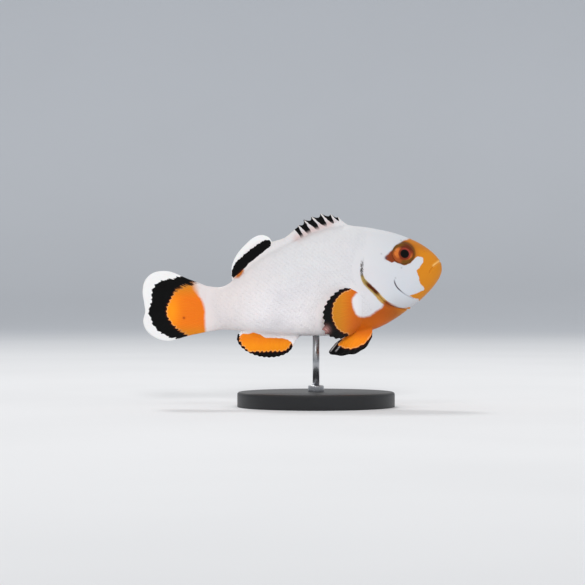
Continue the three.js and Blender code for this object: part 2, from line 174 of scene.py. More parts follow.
ORANGE_SNOUT = (
    (24.4, 45.8), (24.9, 44.9), (23.3, 44.3), (21.7, 43.2), (20.0, 41.6), (19.1, 40.8), (18.3, 40.0),
    (18.2, 39.3), (19.2, 38.8), (19.8, 38.3), (20.5, 38.5), (21.4, 38.3), (23.2, 37.7), (24.5, 38.0),
    (25.5, 38.7), (26.2, 39.5), (26.9, 40.0), (28.3, 39.6), (28.15, 38.3), (27.35, 37.1), (26.6, 36.2),
    (27.15, 34.7), (27.4, 33.0), (28.6, 31.7), (28.5, 31.1), (27.4, 30.6), (26.2, 30.15), (24.8, 29.7),
    (26.0, 29.0), (27.2, 28.7), (28.5, 26.9), (35.7, 31.1), (37.1, 40.5), (30.4, 47.1),
)
ORANGE_CHEST = (
    (25.0, 24.9), (24.9, 26.7), (23.6, 26.5), (22.1, 26.35), (20.6, 26.9), (19.3, 27.5), (18.2, 27.8),
    (17.4, 26.5), (16.25, 25.8), (15.15, 24.95), (14.1, 24.3), (12.6, 23.9), (11.7, 24.0), (11.0, 24.4),
    (8.8, 23.7), (7.5, 21.3), (6.7, 18.6), (6.7, 15.7), (17.1, 15.7), (24.9, 21.8),
)
ORANGE_TAIL = (
    (-32.7, 33.8), (-32.4, 32.4), (-31.5, 30.1), (-30.15, 28.0), (-29.55, 25.4), (-29.6, 22.3),
    (-29.5, 18.6), (-33.8, 17.6), (-36.2, 18.9), (-38.7, 20.2), (-40.5, 22.7), (-41.2, 25.9), (-40.3, 29.1),
    (-38.7, 31.7), (-36.6, 33.0), (-33.6, 33.9),
)
ORANGE_ANAL = (
    (-19.6, 19.5), (-18.4, 19.4), (-16.5, 19.8), (-14.9, 19.3), (-13.2, 18.4), (-9.7, 18.4),
    (-7.5, 17.9), (-6.3, 16.9), (-6.4, 15.6), (-8.3, 14.1), (-10.9, 13.6), (-17.9, 13.6), (-20.0, 15.3),
    (-21.2, 17.6),
)
ORANGE_SPOT = ((-19.3, 36.9), (-19.4, 35.6), (-20.6, 34.4), (-21.8, 34.4), (-20.5, 36.2))
BLACK_TAIL = (
    (-31.6, 33.2), (-33.4, 34.6), (-35.3, 34.9), (-37.7, 34.2), (-40.3, 33.9), (-42.3, 33.0), (-43.5, 31.5),
    (-43.8, 29.9), (-43.7, 28.9), (-44.0, 27.5), (-44.7, 25.0), (-44.0, 23.5), (-43.3, 21.8),
    (-42.1, 20.4), (-39.4, 18.7), (-36.9, 18.2), (-35.6, 17.9), (-33.6, 18.5), (-35.4, 19.75),
    (-37.55, 21.05), (-39.2, 23.2), (-39.9, 25.9), (-38.9, 28.5), (-37.55, 30.75), (-35.9, 31.75),
    (-33.4, 32.9),
)
BLACK_SOFT = (
    (-12.6, 44.5), (-11.9, 43.8), (-12.2, 42.8), (-13.9, 41.5), (-16.1, 39.6), (-18.2, 38.0),
    (-18.9, 37.0), (-20.5, 35.6), (-22.1, 34.4), (-22.5, 35.7), (-22.0, 37.4), (-21.1, 38.9),
    (-19.7, 40.0), (-17.7, 41.8), (-15.1, 43.6), (-13.9, 44.3),
)
BLACK_WEBS = (
    (-6.0, 47.5), (-5.6, 46.4), (-3.2, 44.0), (-2.5, 44.6), (-1.7, 45.9), (-0.1, 46.9), (2.0, 47.7),
    (3.6, 48.7), (5.0, 49.4), (6.6, 50.6), (6.6, 53), (-6.0, 53),
)
BLACK_ANAL = (
    (-6.6, 16.6), (-6.9, 16.1), (-8.4, 15.0), (-10.9, 14.75), (-17.5, 14.75), (-19.0, 15.75),
    (-20.5, 17.6), (-20.3, 19.0), (-21.4, 19.6), (-23, 17), (-19, 12), (-10, 12), (-6, 14.2),
)
ORANGE_PECTORAL = (
    (9.3, 32.6), (10.3, 31.2), (11.0, 30.6), (10.5, 30.2), (9.8, 29.4), (9.4, 28.3), (9.7, 26.5),
    (10.4, 25.0), (11.0, 24.3), (11.8, 23.95), (13.0, 23.9), (13.0, 16.5), (-1.6, 16.5), (-1.6, 33.8),
)
BLACK_PECTORAL = (
    (9.2, 31.4), (8.3, 31.0), (7.6, 30.9), (6.6, 30.2), (5.3, 28.8), (4.6, 27.8), (4.2, 26.6),
    (4.1, 25.2), (4.2, 23.5), (4.7, 22.4), (5.4, 21.2), (6.4, 20.2), (7.3, 19.7), (8.3, 19.5),
    (8.9, 17), (-1, 17), (-1, 33), (9.4, 33),
)
ORANGE_PELVIC = (
    (17, 22), (15.2, 20.2), (13.8, 17.9), (12.4, 16.6), (11.1, 15.9), (9.1, 15.5), (6.9, 16.0), (5.8, 16.8),
    (7.7, 18.9), (9, 21), (9, 23),
)

# ---------------- heights of the relief
RELIEF = SimpleNamespace(
    gill_cover=0.24, gill_slit=0.34, behind_gill=0.1, cheek=0.08, lips=0.06, mouth=0.24,
    nostril_rim=0.04, nostril=0.2, lateral_line=0.035, eyelid=0.09, eye_hollow=1.3,
    soft_ray=0.022, spine=0.17, web=0.05, paired_ray=0.03,
)

# ---------------- colours, sRGB from 0 to 255
# the grey under the lower jaw is painted shade, the grey over the top of the head and body is painted shade
# too, and the belly's white is painted brighter, partly real countershading and partly painted light
# against the shade beneath it
WHITE = SimpleNamespace(
    head=(204, 209, 216), body=(225, 223, 225), stalk=(223, 213, 211), chin_shade=(190, 192, 196),
    belly=(255, 250, 252), top_shade=(198, 198, 198), cloud=(214, 210, 214), rosy=(208, 186, 184),
    margin=(235, 235, 235), spines=(216, 213, 211),
)
# one of these, the pale streak along the mouth's upper edge, is a painted highlight
ORANGE = SimpleNamespace(
    plain=(236, 118, 20), golden=(255, 150, 18), ochre=(209, 131, 28), rusty=(130, 56, 24),
    rib=(255, 190, 96), lip_highlight=(255, 202, 118), pale=(255, 208, 150), dot=(150, 44, 12), rim=(102, 62, 20),
)
BLACK = SimpleNamespace(
    plain=(2, 2, 2), edge=(4, 2, 3), on_orange=(60, 8, 4), frayed=(96, 32, 32), fringe=(226, 176, 170),
    streak=(196, 192, 192),
)
GILL = SimpleNamespace(
    grey=(68, 66, 64), olive=(158, 130, 62), pale=(204, 184, 130), brown=(98, 46, 14), low=(194, 154, 82),
    rust=(156, 78, 28),
)
CHEEK_LINE = (84, 80, 90)
PORE = (76, 60, 74)
IRIS = SimpleNamespace(
    plain=(138, 58, 26), lit=(208, 114, 48), spokes=(120, 48, 20), top=(96, 40, 20), inner=(116, 46, 24),
    inner_front=(146, 56, 46), rim=(108, 70, 18), rim_front=(100, 42, 14), rim_back=(160, 78, 36),
)

# ---------------- how fine the skin is
FAR = 9.0  # a distance from a line that keeps its colour off
RINGS = 410  # from the snout to the tail root
CROWDING = 1.4  # the rings crowd towards the snout
TAIL_ROWS = 84
LOW, FLANK, HIGH = 34, 90, 54  # vertices of half a ring: keel and anal fin, flank, back and its fins
WEB_STEPS, RAY_STEPS = 14, 80  # places where a web's margin and a soft fin's margin are worked out
UV_SIZE = 118.0  # side of the skin's UV square, in millimetres of skin
# a scale's spacing along a row and from row to row, its length and half-width, how high its free edge
# stands, how deep its root lies and its patch of the UV square; staggered rows run from head to tail
SCALE = SimpleNamespace(pitch=1.15, row=0.62, length=1.75, half=0.7, lift=0.016, root=0.03, patch=0.003)


# ---------------- curves and distances
def smoothstep(t):
    t = np.clip(t, 0, 1)
    return t * t * (3 - 2 * t)


def ridge(distance, width):
    """1 on a line and falling to 0 at about twice the width."""
    return np.exp(-((distance / width) ** 2))


def falling(distance, width):
    """1 up to a line and falling off past it."""
    return np.exp(-np.maximum(distance, 0) / width)


def within(x, low, high):
    return (x > low) * (x < high)


def stacked(*columns):
    """Points from their coordinates, or any columns side by side in a last axis."""
    return np.stack(np.broadcast_arrays(*columns), -1)


def norm(vectors):
    return np.linalg.norm(vectors, axis=-1)


def run_length(points):
    """Length along a line of points up to each of them; for a grid, along each of its rows."""
    steps = norm(np.diff(points, axis=-2))
    return np.concatenate([np.zeros_like(steps[..., :1]), np.cumsum(steps, axis=-1)], axis=-1)


def smooth_through(xs, ys):
    """A smooth function through (xs, ys), with the slope at each point taken from its neighbours."""
    xs = np.asarray(xs, float)
    ys = np.asarray(ys, float)
    index = np.arange(len(xs))
    before = np.maximum(index - 1, 0)
    after = np.minimum(index + 1, len(xs) - 1)
    slope = (ys[after] - ys[before]) / (xs[after] - xs[before])

    def at(x):
        x = np.clip(x, xs[0], xs[-1])
        i = np.clip(np.searchsorted(xs, x, side="right") - 1, 0, len(xs) - 2)
        span = xs[i + 1] - xs[i]
        t = (x - xs[i]) / span
        start = (2 * t**3 - 3 * t**2 + 1) * ys[i] + (t**3 - 2 * t**2 + t) * span * slope[i]
        end = (3 * t**2 - 2 * t**3) * ys[i + 1] + (t**3 - t**2) * span * slope[i + 1]
        return start + end

    return at


def curve_points(points, fine=16, ease=0.5):
    """A cubic curve through the points; the less ease, the tighter its corners."""
    p = np.asarray(points, float)
    p = np.vstack([p[:1], p, p[-1:]])
    t = np.linspace(0, 1, fine, endpoint=False)[:, None]
    runs = []
    for a, b, c, d in zip(p, p[1:], p[2:], p[3:]):
        v0 = (c - a) * ease
        v1 = (d - b) * ease
        cubic = (2 * b - 2 * c + v0 + v1) * t**3 + (3 * c - 3 * b - 2 * v0 - v1) * t**2
        runs.append(cubic + v0 * t + b)
    return np.vstack(runs + [p[-1:]])


def rounded_outline(points):
    """A closed outline with its corners a little eased."""
    fine = 4
    points = list(points)
    return curve_points(points[-1:] + points + points[:2], fine, 0.3)[fine:-fine - 1]


def line_through(points):
    """Places on a smooth curve by their share of its length."""
    curve = curve_points(points)
    steps = norm(np.diff(curve, axis=0))
    share = np.concatenate([[0], np.cumsum(steps)]) / steps.sum()
    return lambda s: stacked(*(np.interp(s, share, curve[:, i]) for i in range(2)))


def off_segment(flat, p, q):
    """A segment's run, and points' offset from its start, share along it and distance from it, squared."""
    edge = q - p
    rel = flat - p
    t = np.clip(rel @ edge / (edge @ edge), 0, 1)
    return edge, rel, t, ((rel - t[:, None] * edge) ** 2).sum(axis=1)


def inside_by(points, outline):
    """How far points lie inside a closed outline, negative outside."""
    flat = points.reshape(-1, 2)
    corners = rounded_outline(outline)
    nearest = np.full(len(flat), np.inf)
    inside = np.zeros(len(flat), bool)
    for p, q in zip(corners, np.roll(corners, -1, axis=0)):
        edge, rel, _, far = off_segment(flat, p, q)
        nearest = np.minimum(nearest, far)
        spans = (p[1] > flat[:, 1]) != (q[1] > flat[:, 1])
        rise = edge[1] if edge[1] else 1e-9  # a level edge spans nothing
        inside ^= spans & (flat[:, 0] < p[0] + rel[:, 1] * edge[0] / rise)
    return (np.where(inside, 1, -1) * np.sqrt(nearest)).reshape(points.shape[:-1])


def distance_from(points, spot):
    return norm(points - np.array(spot))


def beside(points, line):
    """Distance from an open line, positive to its left looking along it, and the nearest place's share."""
    flat = points.reshape(-1, 2)
    curve = curve_points(line, 6)
    nearest = np.full(len(flat), np.inf)
    distance, share = np.zeros((2, len(flat)))
    for i, (p, q) in enumerate(zip(curve, curve[1:])):
        edge, rel, t, far = off_segment(flat, p, q)
        closer = far < nearest
        left = np.sign(edge[0] * rel[:, 1] - edge[1] * rel[:, 0])
        nearest[closer] = far[closer]
        distance[closer] = (left * np.sqrt(far))[closer]
        share[closer] = (i + t[closer]) / (len(curve) - 1)
    shape = points.shape[:-1]
    return distance.reshape(shape), share.reshape(shape)


# ---------------- the body's shape
reach = [math.sqrt(row[0]) for row in STATIONS]
back_at, belly_at, half_at = (smooth_through(reach, [row[i] for row in STATIONS]) for i in (1, 2, 3))


def section(behind):
    """The body's cross-section at distances behind the snout."""
    root = np.sqrt(np.maximum(0, behind))
    back = back_at(root)
    belly = belly_at(root)
    power = FULLNESS[0] + (FULLNESS[1] - FULLNESS[0]) * behind / BODY_LENGTH
    level = belly + WIDEST_LEVEL * (back - belly)
    return SimpleNamespace(back=back, belly=belly, level=level, half=half_at(root), power=power)


def flank(x, z):
    """Half the body's width at a place in side view."""
    s = section(SNOUT_X - x)
    up = np.where(z > s.level, (z - s.level) / (s.back - s.level), (s.level - z) / (s.level - s.belly))
    return s.half * (1 - np.minimum(1, up) ** 2) ** (s.power / 2)


def soft_rays(root, margin, first, count):
    """Feet, tips and numbers of a fin's soft rays, from front to back."""
    share = np.linspace(0, 1, RAY_STEPS)
    return line_through(root)(share)[:, 0], line_through(margin)(share), first + count * share


def fin_table(edge, past, *parts):
    """A fin's margin and ray numbers by the x of the ray's foot, made ready for np.interp.

    It sinks to the body's back or belly, as edge says, a little past its first and last ray.
    """
    feet, tips, rays = (np.concatenate(column) for column in zip(*parts))
    ends = np.array([feet[0] + past[0], feet[-1] - past[1]])
    end_tips = stacked(ends, getattr(section(SNOUT_X - ends), edge))
    feet = np.append(feet, ends)
    order = np.argsort(feet)
    tips = np.vstack([tips, end_tips])[order]
    return SimpleNamespace(x=feet[order], tip=tips, ray=np.append(rays, rays[[0, -1]])[order])


def back_fins():
    """The two joined back fins: spines with dipped webs, then soft rays."""
    webs = len(SPINE_FEET) - 1
    place = np.linspace(0, webs, webs * WEB_STEPS + 1)
    feet, *tips = (np.interp(place, range(webs + 1), row) for row in (SPINE_FEET, *zip(*SPINE_TIPS)))
    tips = stacked(*tips)
    crest = stacked(feet, section(SNOUT_X - feet).back)
    t = place % 1
    dip = WEB_DIP * np.interp(place, WEBS_JOIN, (1, 0.15))
    tips += (crest - tips) * (dip * 4 * t * (1 - t))[:, None]
    soft = soft_rays(SOFT_ROOT, SOFT_MARGIN, webs + 1, SOFT_RAYS)
    return fin_table("back", (0.9, 1.0), (feet, tips, place), soft)


def anal_fin():
    return fin_table("belly", (0.9, 0.9), soft_rays(ANAL_ROOT, ANAL_MARGIN, 0, ANAL_RAYS))


def round_rim(left, width):
    """How much of its thickness a fin has, by the distance left to its margin."""
    return np.sqrt(np.clip(1 - (1 - np.minimum(left / width, 1)) ** 2, 0, 1))


def crest_profile(x, s, end, fin, turn, count, serration):
    """Vertices of each ring from the flank over the back (or keel) and up the fin to its margin.

    turn is the section angle where the flank stops, end the height of the back or keel.
    """
    tau = np.linspace(0, 1, count + 1)[None, :]
    ray = np.interp(x, fin.x, fin.ray)
    foot = stacked(x, end)
    tip = stacked(*(np.interp(x, fin.x, fin.tip[:, i]) for i in (0, 1)))
    reach_out = np.where(((x < fin.x[0]) | (x > fin.x[-1]))[:, None], 0, tip - foot)
    height = norm(reach_out)[:, None]
    along = reach_out / np.maximum(height, 1e-6)
    height = height * (1 + serration * np.cos(math.tau * ray)[:, None])
    presence = smoothstep(height / 1.5)
    split = 1 - FIN.share * smoothstep(height / 2.5)
    over = np.minimum(tau / split, 1)
    up = np.clip((tau - split) / np.maximum(1 - split, 1e-6), 0, 1)

    x, level, end, half, power, turn = (a[:, None] for a in (x, s.level, end, s.half, s.power, turn))
    foot = FIN.foot * presence
    start = half * np.cos(turn) ** power
    angle = turn + (math.pi / 2 - turn) * over
    y = foot + (start - foot) * (np.cos(angle) / np.cos(turn)) ** power

    def shell(width):
        """The height of the body's own surface at a distance from its midline."""
        return level + (end - level) * np.sqrt(np.clip(1 - (width / half) ** (2 / power), 0, 1))

    near = np.clip((start - y) / (start - foot), 0, 1) ** 3
    climb = np.minimum(FIN.climb, 0.45 * height)
    out = climb * near + (height - climb) * up
    px = x + along[:, :1] * out
    pz = shell(y) + (end - shell(foot)) * near + along[:, 1:] * out
    rim = round_rim((1 - up) * (height - climb), FIN.rim)
    thin = (foot + (FIN.edge - FIN.foot) * presence * up) * rim
    y = np.where(up > 0, thin, y)
    y[:, -1] = 0
    grown = presence * smoothstep((near - 0.3) / 0.7)
    return SimpleNamespace(
        x=px, z=pz, y=y, up=up * np.ones_like(y), fin=grown, ray=np.broadcast_to(ray[:, None], y.shape)
    )


# what each vertex of the skin knows: its place, how far up a fin it lies, how much it belongs to the fin,
# and its place among the fin's rays
CHANNELS = ("x", "y", "z", "up", "fin", "ray")


def body_half():
    """Half of the body with its unpaired fins: a grid of rings from the snout to the tail's margin."""
    share = np.linspace(0, 1, RINGS)
    behind = (SNOUT_X - TAIL_ROOT_X) * share**CROWDING
    behind[0] = 1e-4
    s = section(behind)
    x = SNOUT_X - behind
    total = LOW + FLANK + HIGH

    def turn_at(zone, fade):
        even = math.pi / 2 - math.pi * zone / total
        by_fillet = np.arccos(np.clip(FIN.fillet / np.maximum(s.half, 2), 0, 1) ** (1 / s.power))
        weight = smoothstep(np.interp(-x, fade, (0, 1, 1, 0)))
        return even + (by_fillet - even) * weight

    high_turn = turn_at(HIGH, (-15, -10, 22, 27.5))
    low_turn = turn_at(LOW, (-1, 4, 20, 25))
    high = crest_profile(x, s, s.back, back_fins(), high_turn, HIGH, 0.0)
    low = crest_profile(x, s, s.belly, anal_fin(), low_turn, LOW, 0.02)
    angle = -low_turn[:, None] + (low_turn + high_turn)[:, None] * np.linspace(0, 1, FLANK + 1)[None, :]
    rise = np.where(angle > 0, (s.back - s.level)[:, None], (s.level - s.belly)[:, None])
    middle = SimpleNamespace(
        x=np.broadcast_to(x[:, None], angle.shape),
        z=s.level[:, None] + rise * np.sin(angle),
        y=s.half[:, None] * np.cos(angle) ** s.power[:, None],
    )
    middle.up = middle.fin = middle.ray = np.zeros_like(middle.y)
    parts = {}
    for name in CHANNELS:
        joined = [getattr(low, name)[:, ::-1], getattr(middle, name)[:, 1:-1], getattr(high, name)]
        parts[name] = np.concatenate(joined, axis=1)
    return SimpleNamespace(**parts)


def tail_half(body):
    """The rows of the tail fin, which carry on the body's last ring out to the margin."""
    root = stacked(body.x[-1], body.z[-1])
    across = (root[-1, 1] - root[:, 1]) / (root[-1, 1] - root[0, 1])
    v = np.linspace(0, 1, TAIL_ROWS + 1)[1:, None]
    span = line_through(TAIL_MARGIN)(across) - root
    length = norm(span)
    ease = stacked(-length, np.zeros_like(length)) - span
    place = root + span * v[..., None] + ease * (v * (1 - v) ** 6)[..., None]
    spread = smoothstep(v / 0.24)
    side = np.sqrt(np.clip(1 - np.abs(2 * across - 1) ** 30, 0, 1))
    thin = (FIN.foot + (FIN.edge - FIN.foot) * v) * side * round_rim((1 - v) * length, 0.3)
    y = body.y[-1] * (1 - spread) + thin * spread
    y[-1] = 0
    y[:, [0, -1]] = 0
    ray = TAIL_RAYS * (across - 0.07 * np.sin(math.tau * across)) + np.zeros_like(v)
    return SimpleNamespace(x=place[..., 0], z=place[..., 1], y=y, up=v + 0 * y, fin=spread + 0 * y, ray=ray)


# ---------------- relief
def eye_seat(side):
    """The eye's place on the skin and its outward axis."""
    step = 0.5
    slope_x = (flank(EYE.x + step, EYE.z) - flank(EYE.x - step, EYE.z)) / (2 * step)
    slope_z = (flank(EYE.x, EYE.z + step) - flank(EYE.x, EYE.z - step)) / (2 * step)
    outward = np.array([-slope_x, side, -slope_z])
    centre = np.array([EYE.x, side * flank(EYE.x, EYE.z), EYE.z])
    return centre, outward / np.linalg.norm(outward)


def relief(place, position, along):
    """How far the skin stands out from the body's plain shape, and its distance from the eye's axis.

    place is (x, z) in side view; heights, widths and distances are in millimetres.
    """
    gill, gill_run = beside(place, GILL_OPENING)
    ends = smoothstep(gill_run / 0.12)
    cover = smoothstep(gill / 0.22) * falling(gill, 2.4)
    height = RELIEF.gill_cover * cover - RELIEF.gill_slit * ridge(gill + 0.1, 0.16)
    height = ends * (height - RELIEF.behind_gill * np.exp(gill) * (gill < 0))

    cheek, cheek_run = beside(place, CHEEK_EDGE)
    fade = smoothstep(cheek_run / 0.1) * smoothstep((1 - cheek_run) / 0.1)
    height += fade * (RELIEF.cheek * smoothstep(cheek / 0.15) * falling(cheek, 1.5))
    height -= fade * RELIEF.cheek * ridge(cheek, 0.1)

    mouth, mouth_run = beside(place, MOUTH)
    corner = smoothstep((1 - mouth_run) / 0.12)
    lips = RELIEF.lips * ridge(np.abs(mouth) - 0.45, 0.3)
    height += corner * (lips - RELIEF.mouth * ridge(mouth, 0.11))

    hole = distance_from(place, NOSTRIL)
    height += RELIEF.nostril_rim * ridge(hole - 0.36, 0.14) - RELIEF.nostril * ridge(hole, 0.18)

    line, line_run = beside(place, LATERAL_LINE)
    tubes = 0.5 + 0.5 * np.cos(math.tau * along / SCALE.pitch)
    height += RELIEF.lateral_line * ridge(line, 0.22) * tubes * smoothstep(line_run / 0.05)

    centre, outward = eye_seat(1)
    rel = position - centre
    out = rel @ outward
    from_eye = norm(rel - out[..., None] * outward)
    height += RELIEF.eyelid * ridge(from_eye - EYE.radius - 0.3, 0.3)
    height -= RELIEF.eye_hollow * smoothstep((EYE.radius - 0.04 - from_eye) / 0.3)

    return height, from_eye


def skin_normals(p):
    """Outward normals of the half grid, whose y is never negative."""
    across = np.cross(np.gradient(p, axis=0), np.gradient(p, axis=1))
    normal = across / np.maximum(norm(across)[..., None], 1e-9)
    return normal * np.where(normal[..., 1:2] < 0, -1, 1)


def fin_relief(g):
    """Rays and spines as ridges on the fins."""
    spiny = smoothstep((g.x - SPINY_END_X + 0.2) / 0.4) * (g.z > MIDDLE_Z)
    tail = g.x < TAIL_ROOT_X
    fork = smoothstep((g.up - 0.35) / 0.2)
    wave = np.cos(math.tau * g.ray)
    fine = np.cos(2 * math.tau * g.ray)
    soft = RELIEF.soft_ray * (wave * (1 - fork) + fine * fork * np.where(tail, 1, 0.6))
    nearest = np.abs(g.ray - np.round(g.ray))
    spine = RELIEF.spine * ridge(nearest, 0.14) - RELIEF.web
    return g.fin * np.where(spiny > 0.5, spine, soft) * smoothstep((1 - g.up) / 0.06)


# ---------------- markings
PLAIN_MARKS = dict(
    gill=FAR, gill_run=0.0, cheek=FAR, cheek_run=0.0, lip_highlight=0.0, blush=0.0, pores=0.0, dot=0.0, frayed=0.0,
    streak=0.0, streaky=0.0, dense=1.0, rim=0.0, spines=0.0,
)


def body_marks(place):
    """Signed distances and shares that the skin's material reads, for the body and its unpaired fins."""
    oranges = (ORANGE_SNOUT, ORANGE_CHEST, ORANGE_TAIL, ORANGE_ANAL, ORANGE_SPOT)
    orange = np.max([inside_by(place, outline) for outline in oranges], axis=0)
    black = np.max([inside_by(place, outline) for outline in (BLACK_TAIL, BLACK_SOFT, BLACK_ANAL)], axis=0)
    gill, gill_run = beside(place, GILL_OPENING)
    cheek, cheek_run = beside(place, CHEEK_EDGE)
    cheek = np.where((cheek_run <= 0) | (cheek_run >= 1), FAR, np.abs(cheek))
    mouth, mouth_run = beside(place, MOUTH)
    # a pale streak along the mouth's upper edge: a painted highlight
    lip_highlight = ridge(mouth + 0.26, 0.28) * smoothstep((mouth_run - 0.12) / 0.12)
    lip_highlight *= 0.85 * smoothstep((0.6 - mouth_run) / 0.1)
    pores = np.max([dark * ridge(distance_from(place, (x, z)), size) for x, z, size, dark in PORES], axis=0)
    # orange fades out more softly on the nape, the throat, the tail and under the soft back fin
    x, z = place[..., 0], place[..., 1]
    soft = 0.12 + 0.2 * (x < 25) * (z > 40) + 0.28 * within(x, 5, 24) * (z < 31)
    soft += smoothstep((-28.0 - x) / 0.5) * (0.35 + 0.8 * smoothstep((z - 29.0) / 3.0))
    soft += 0.3 * within(x, -25, -15) * (z > MIDDLE_Z)
    return dict(
        PLAIN_MARKS, orange=orange, black=black, soft=soft, gill=gill, gill_run=gill_run, cheek=cheek,
        cheek_run=cheek_run, lip_highlight=lip_highlight, blush=0.9 * ridge(beside(place, SPINE_FOOT)[0] - 0.5, 1.1),
        pores=pores, dot=ridge(distance_from(place, TAIL_DOT), 0.3),
    )


def spiny_webs(g, place):
    """Which points lie on the spiny fin, how far each is inside its black, and how dense that is.

    Each web is black between its two spines, the front one with a broad pale foot.
    """
    on_spines = (g.x > SPINY_END_X) & (g.z > MIDDLE_Z)
    past_spine = g.ray % 1
    above = inside_by(place, BLACK_WEBS) + 0.45
    gap = 2.1 * np.minimum(past_spine - 0.13 * (1 - g.up), 1 - past_spine)
    gap += 0.2 * g.up - 0.3 - 0.6 * falling(above, 0.7)
    black = np.where(on_spines, np.minimum(above + 0.3, gap), -1)
    dense = np.where(on_spines, smoothstep((beside(place, SPINE_FOOT)[0] + 0.4) / 1.4), 1.0)
    return on_spines, black, dense


def skin_values(g, place, from_eye):
    """All that the skin's material reads on the body and its unpaired fins."""
    marks = body_marks(place)
    on_spines, webs, dense = spiny_webs(g, place)
    black = np.maximum(marks["black"], webs)
    # the tail's inner corners, where the black is streaky
    corner = smoothstep((g.z - 28.5) / 3) + smoothstep((22 - g.z) / 2.5)
    corner *= (g.x < TAIL_ROOT_X) * smoothstep((0.62 - g.up) / 0.15) * ridge(black - 0.2, 1.1)
    saw = np.where(g.z > MIDDLE_Z, 0.1 * smoothstep(g.up * 6 - 2), 0.26)
    saw = np.where(g.x < TAIL_ROOT_X, 0.24 + 0.1 * corner, saw)
    marks.update(
        tints(place, from_eye), black=black, dense=dense, spines=on_spines, saw=saw, streaky=5.0 * corner,
        ray=g.ray, up=g.up, fin=g.fin,
    )
    return marks


def tints(place, from_eye):
    """How golden, how ochre and how rusty the orange is, and the brown rim of the eye, each 0 to 1."""
    x, z = place[..., 0], place[..., 1]
    tail = 1.1 * np.exp(-(((x + 39.0) / 2.6) ** 2 + ((z - 25.5) / 5.0) ** 2))
    anal = within(x, -24, -2) * (z < 24) * (0.4 + 0.6 * smoothstep((18.6 - z) / 2.5))
    tail_edge = (x < -26) * (smoothstep((z - 28.5) / 4) + smoothstep((22.5 - z) / 3.5))
    head = smoothstep((x - 17) / 7) * (z < 45.5)
    chest = smoothstep((30 - z) / 3) * smoothstep((25.5 - x) / 5) * smoothstep((x - 5) / 4)
    chest *= 0.3 + 0.3 * smoothstep((z - 21.5) / 4)
    forehead = 0.3 * smoothstep((z - 40.5) / 2.5) * (x > 20)
    spot = 0.5 * within(x, -24, -15) * (z > MIDDLE_Z)
    past_eye = np.maximum(from_eye - EYE.radius, 0)
    behind_eye = 1.3 * ridge(past_eye, 2.6) * smoothstep((25.0 - x) / 3.5)
    beside_eye = (0.45 + 0.35 * smoothstep((z - 41) / 2.5)) * ridge(past_eye, 1.5)
    orbit = smoothstep((ORBIT.radius + 0.2 - distance_from(place, (ORBIT.x, ORBIT.z))) / 0.35)
    return dict(
        golden=np.clip(tail + anal, 0, 1),
        ochre=np.max([head, 0.9 * tail_edge, spot], axis=0),
        rusty=np.clip(np.max([chest + forehead + spot, behind_eye, beside_eye], axis=0), 0, 1),
        rim=0.85 * np.maximum(orbit * smoothstep((x - 20.5) / 1.5), ridge(past_eye, 0.15)),
    )


# ---------------- meshes
class Surface:
    """Grids of vertices joined into one mesh, with attributes and a UV map in millimetres."""

    def __init__(self):
        self.points, self.faces, self.corner_uv, self.values = [], [], [], {}
        self.count = 0

    def add_points(self, points, **values):
        """Add a grid of vertices with their values, and return their numbers as a grid."""
        shape = points.shape[:-1]
        for name, value in values.items():
            self.values.setdefault(name, []).append(np.broadcast_to(value, shape).ravel())
        self.points.append(points.reshape(-1, 3))
        first = self.count
        self.count += math.prod(shape)
        return np.arange(first, self.count).reshape(shape)

    def add_grid(self, index, uv, flip):
        """Quads over a grid of vertex numbers, with the grid's own uv for their corners."""
        rows, columns = index.shape
        corners = [(0, 0), (1, 0), (1, 1), (0, 1)][::-1 if flip else 1]
        picks = [(slice(i, rows - 1 + i), slice(j, columns - 1 + j)) for i, j in corners]
        self.faces.append(stacked(*(index[pick] for pick in picks)).reshape(-1, 4))
        self.corner_uv.append(np.stack([uv[pick] for pick in picks], -2).reshape(-1, 4, 2))

    def add_round(self, index, down, flip):
        """A grid of rings that close on themselves; down is each ring's place in the UV square."""
        around = index.shape[1]
        turn = np.arange(around + 1)[None, :] / around
        wrapped = np.concatenate([index, index[:, :1]], axis=1)
        self.add_grid(wrapped, stacked(turn, down), flip)

    def build(self, name, material, uv_size=1.0):
        """Make an object of it; uv_size is the side of the UV square."""
        used, faces = np.unique(np.vstack(self.faces), return_inverse=True)
        faces = faces.reshape(-1, 4)
        mesh = bpy.data.meshes.new(name)
        points = np.vstack(self.points)[used] * MM
        mesh.from_pydata(points.tolist(), [], faces.tolist())
        layer = mesh.uv_layers.new(name="OFBake")
        layer.data.foreach_set("uv", (np.vstack(self.corner_uv) / uv_size).ravel())
        for key, chunks in self.values.items():
            attribute = mesh.attributes.new(key, "FLOAT", "POINT")
            attribute.data.foreach_set("value", np.concatenate(chunks)[used].astype(np.float32))
        mesh.polygons.foreach_set("use_smooth", np.ones(len(faces), bool))
        mesh.materials.append(material)
        mesh.validate()
        mesh.update()
        piece = bpy.data.objects.new(name, mesh)
        bpy.context.scene.collection.objects.link(piece)
        return piece


def flow_map(p):
    """Length along the fish and around it from its widest line, in millimetres, for the half grid."""
    middle = p[:, p.shape[1] // 2, :2]
    around = run_length(p)
    level = section(SNOUT_X - middle[:, 0]).level
    for lengths, z, ring in zip(around, level, p):
        lengths -= np.interp(z, ring[:, 2], lengths)
    return stacked(run_length(middle)[:, None], around)


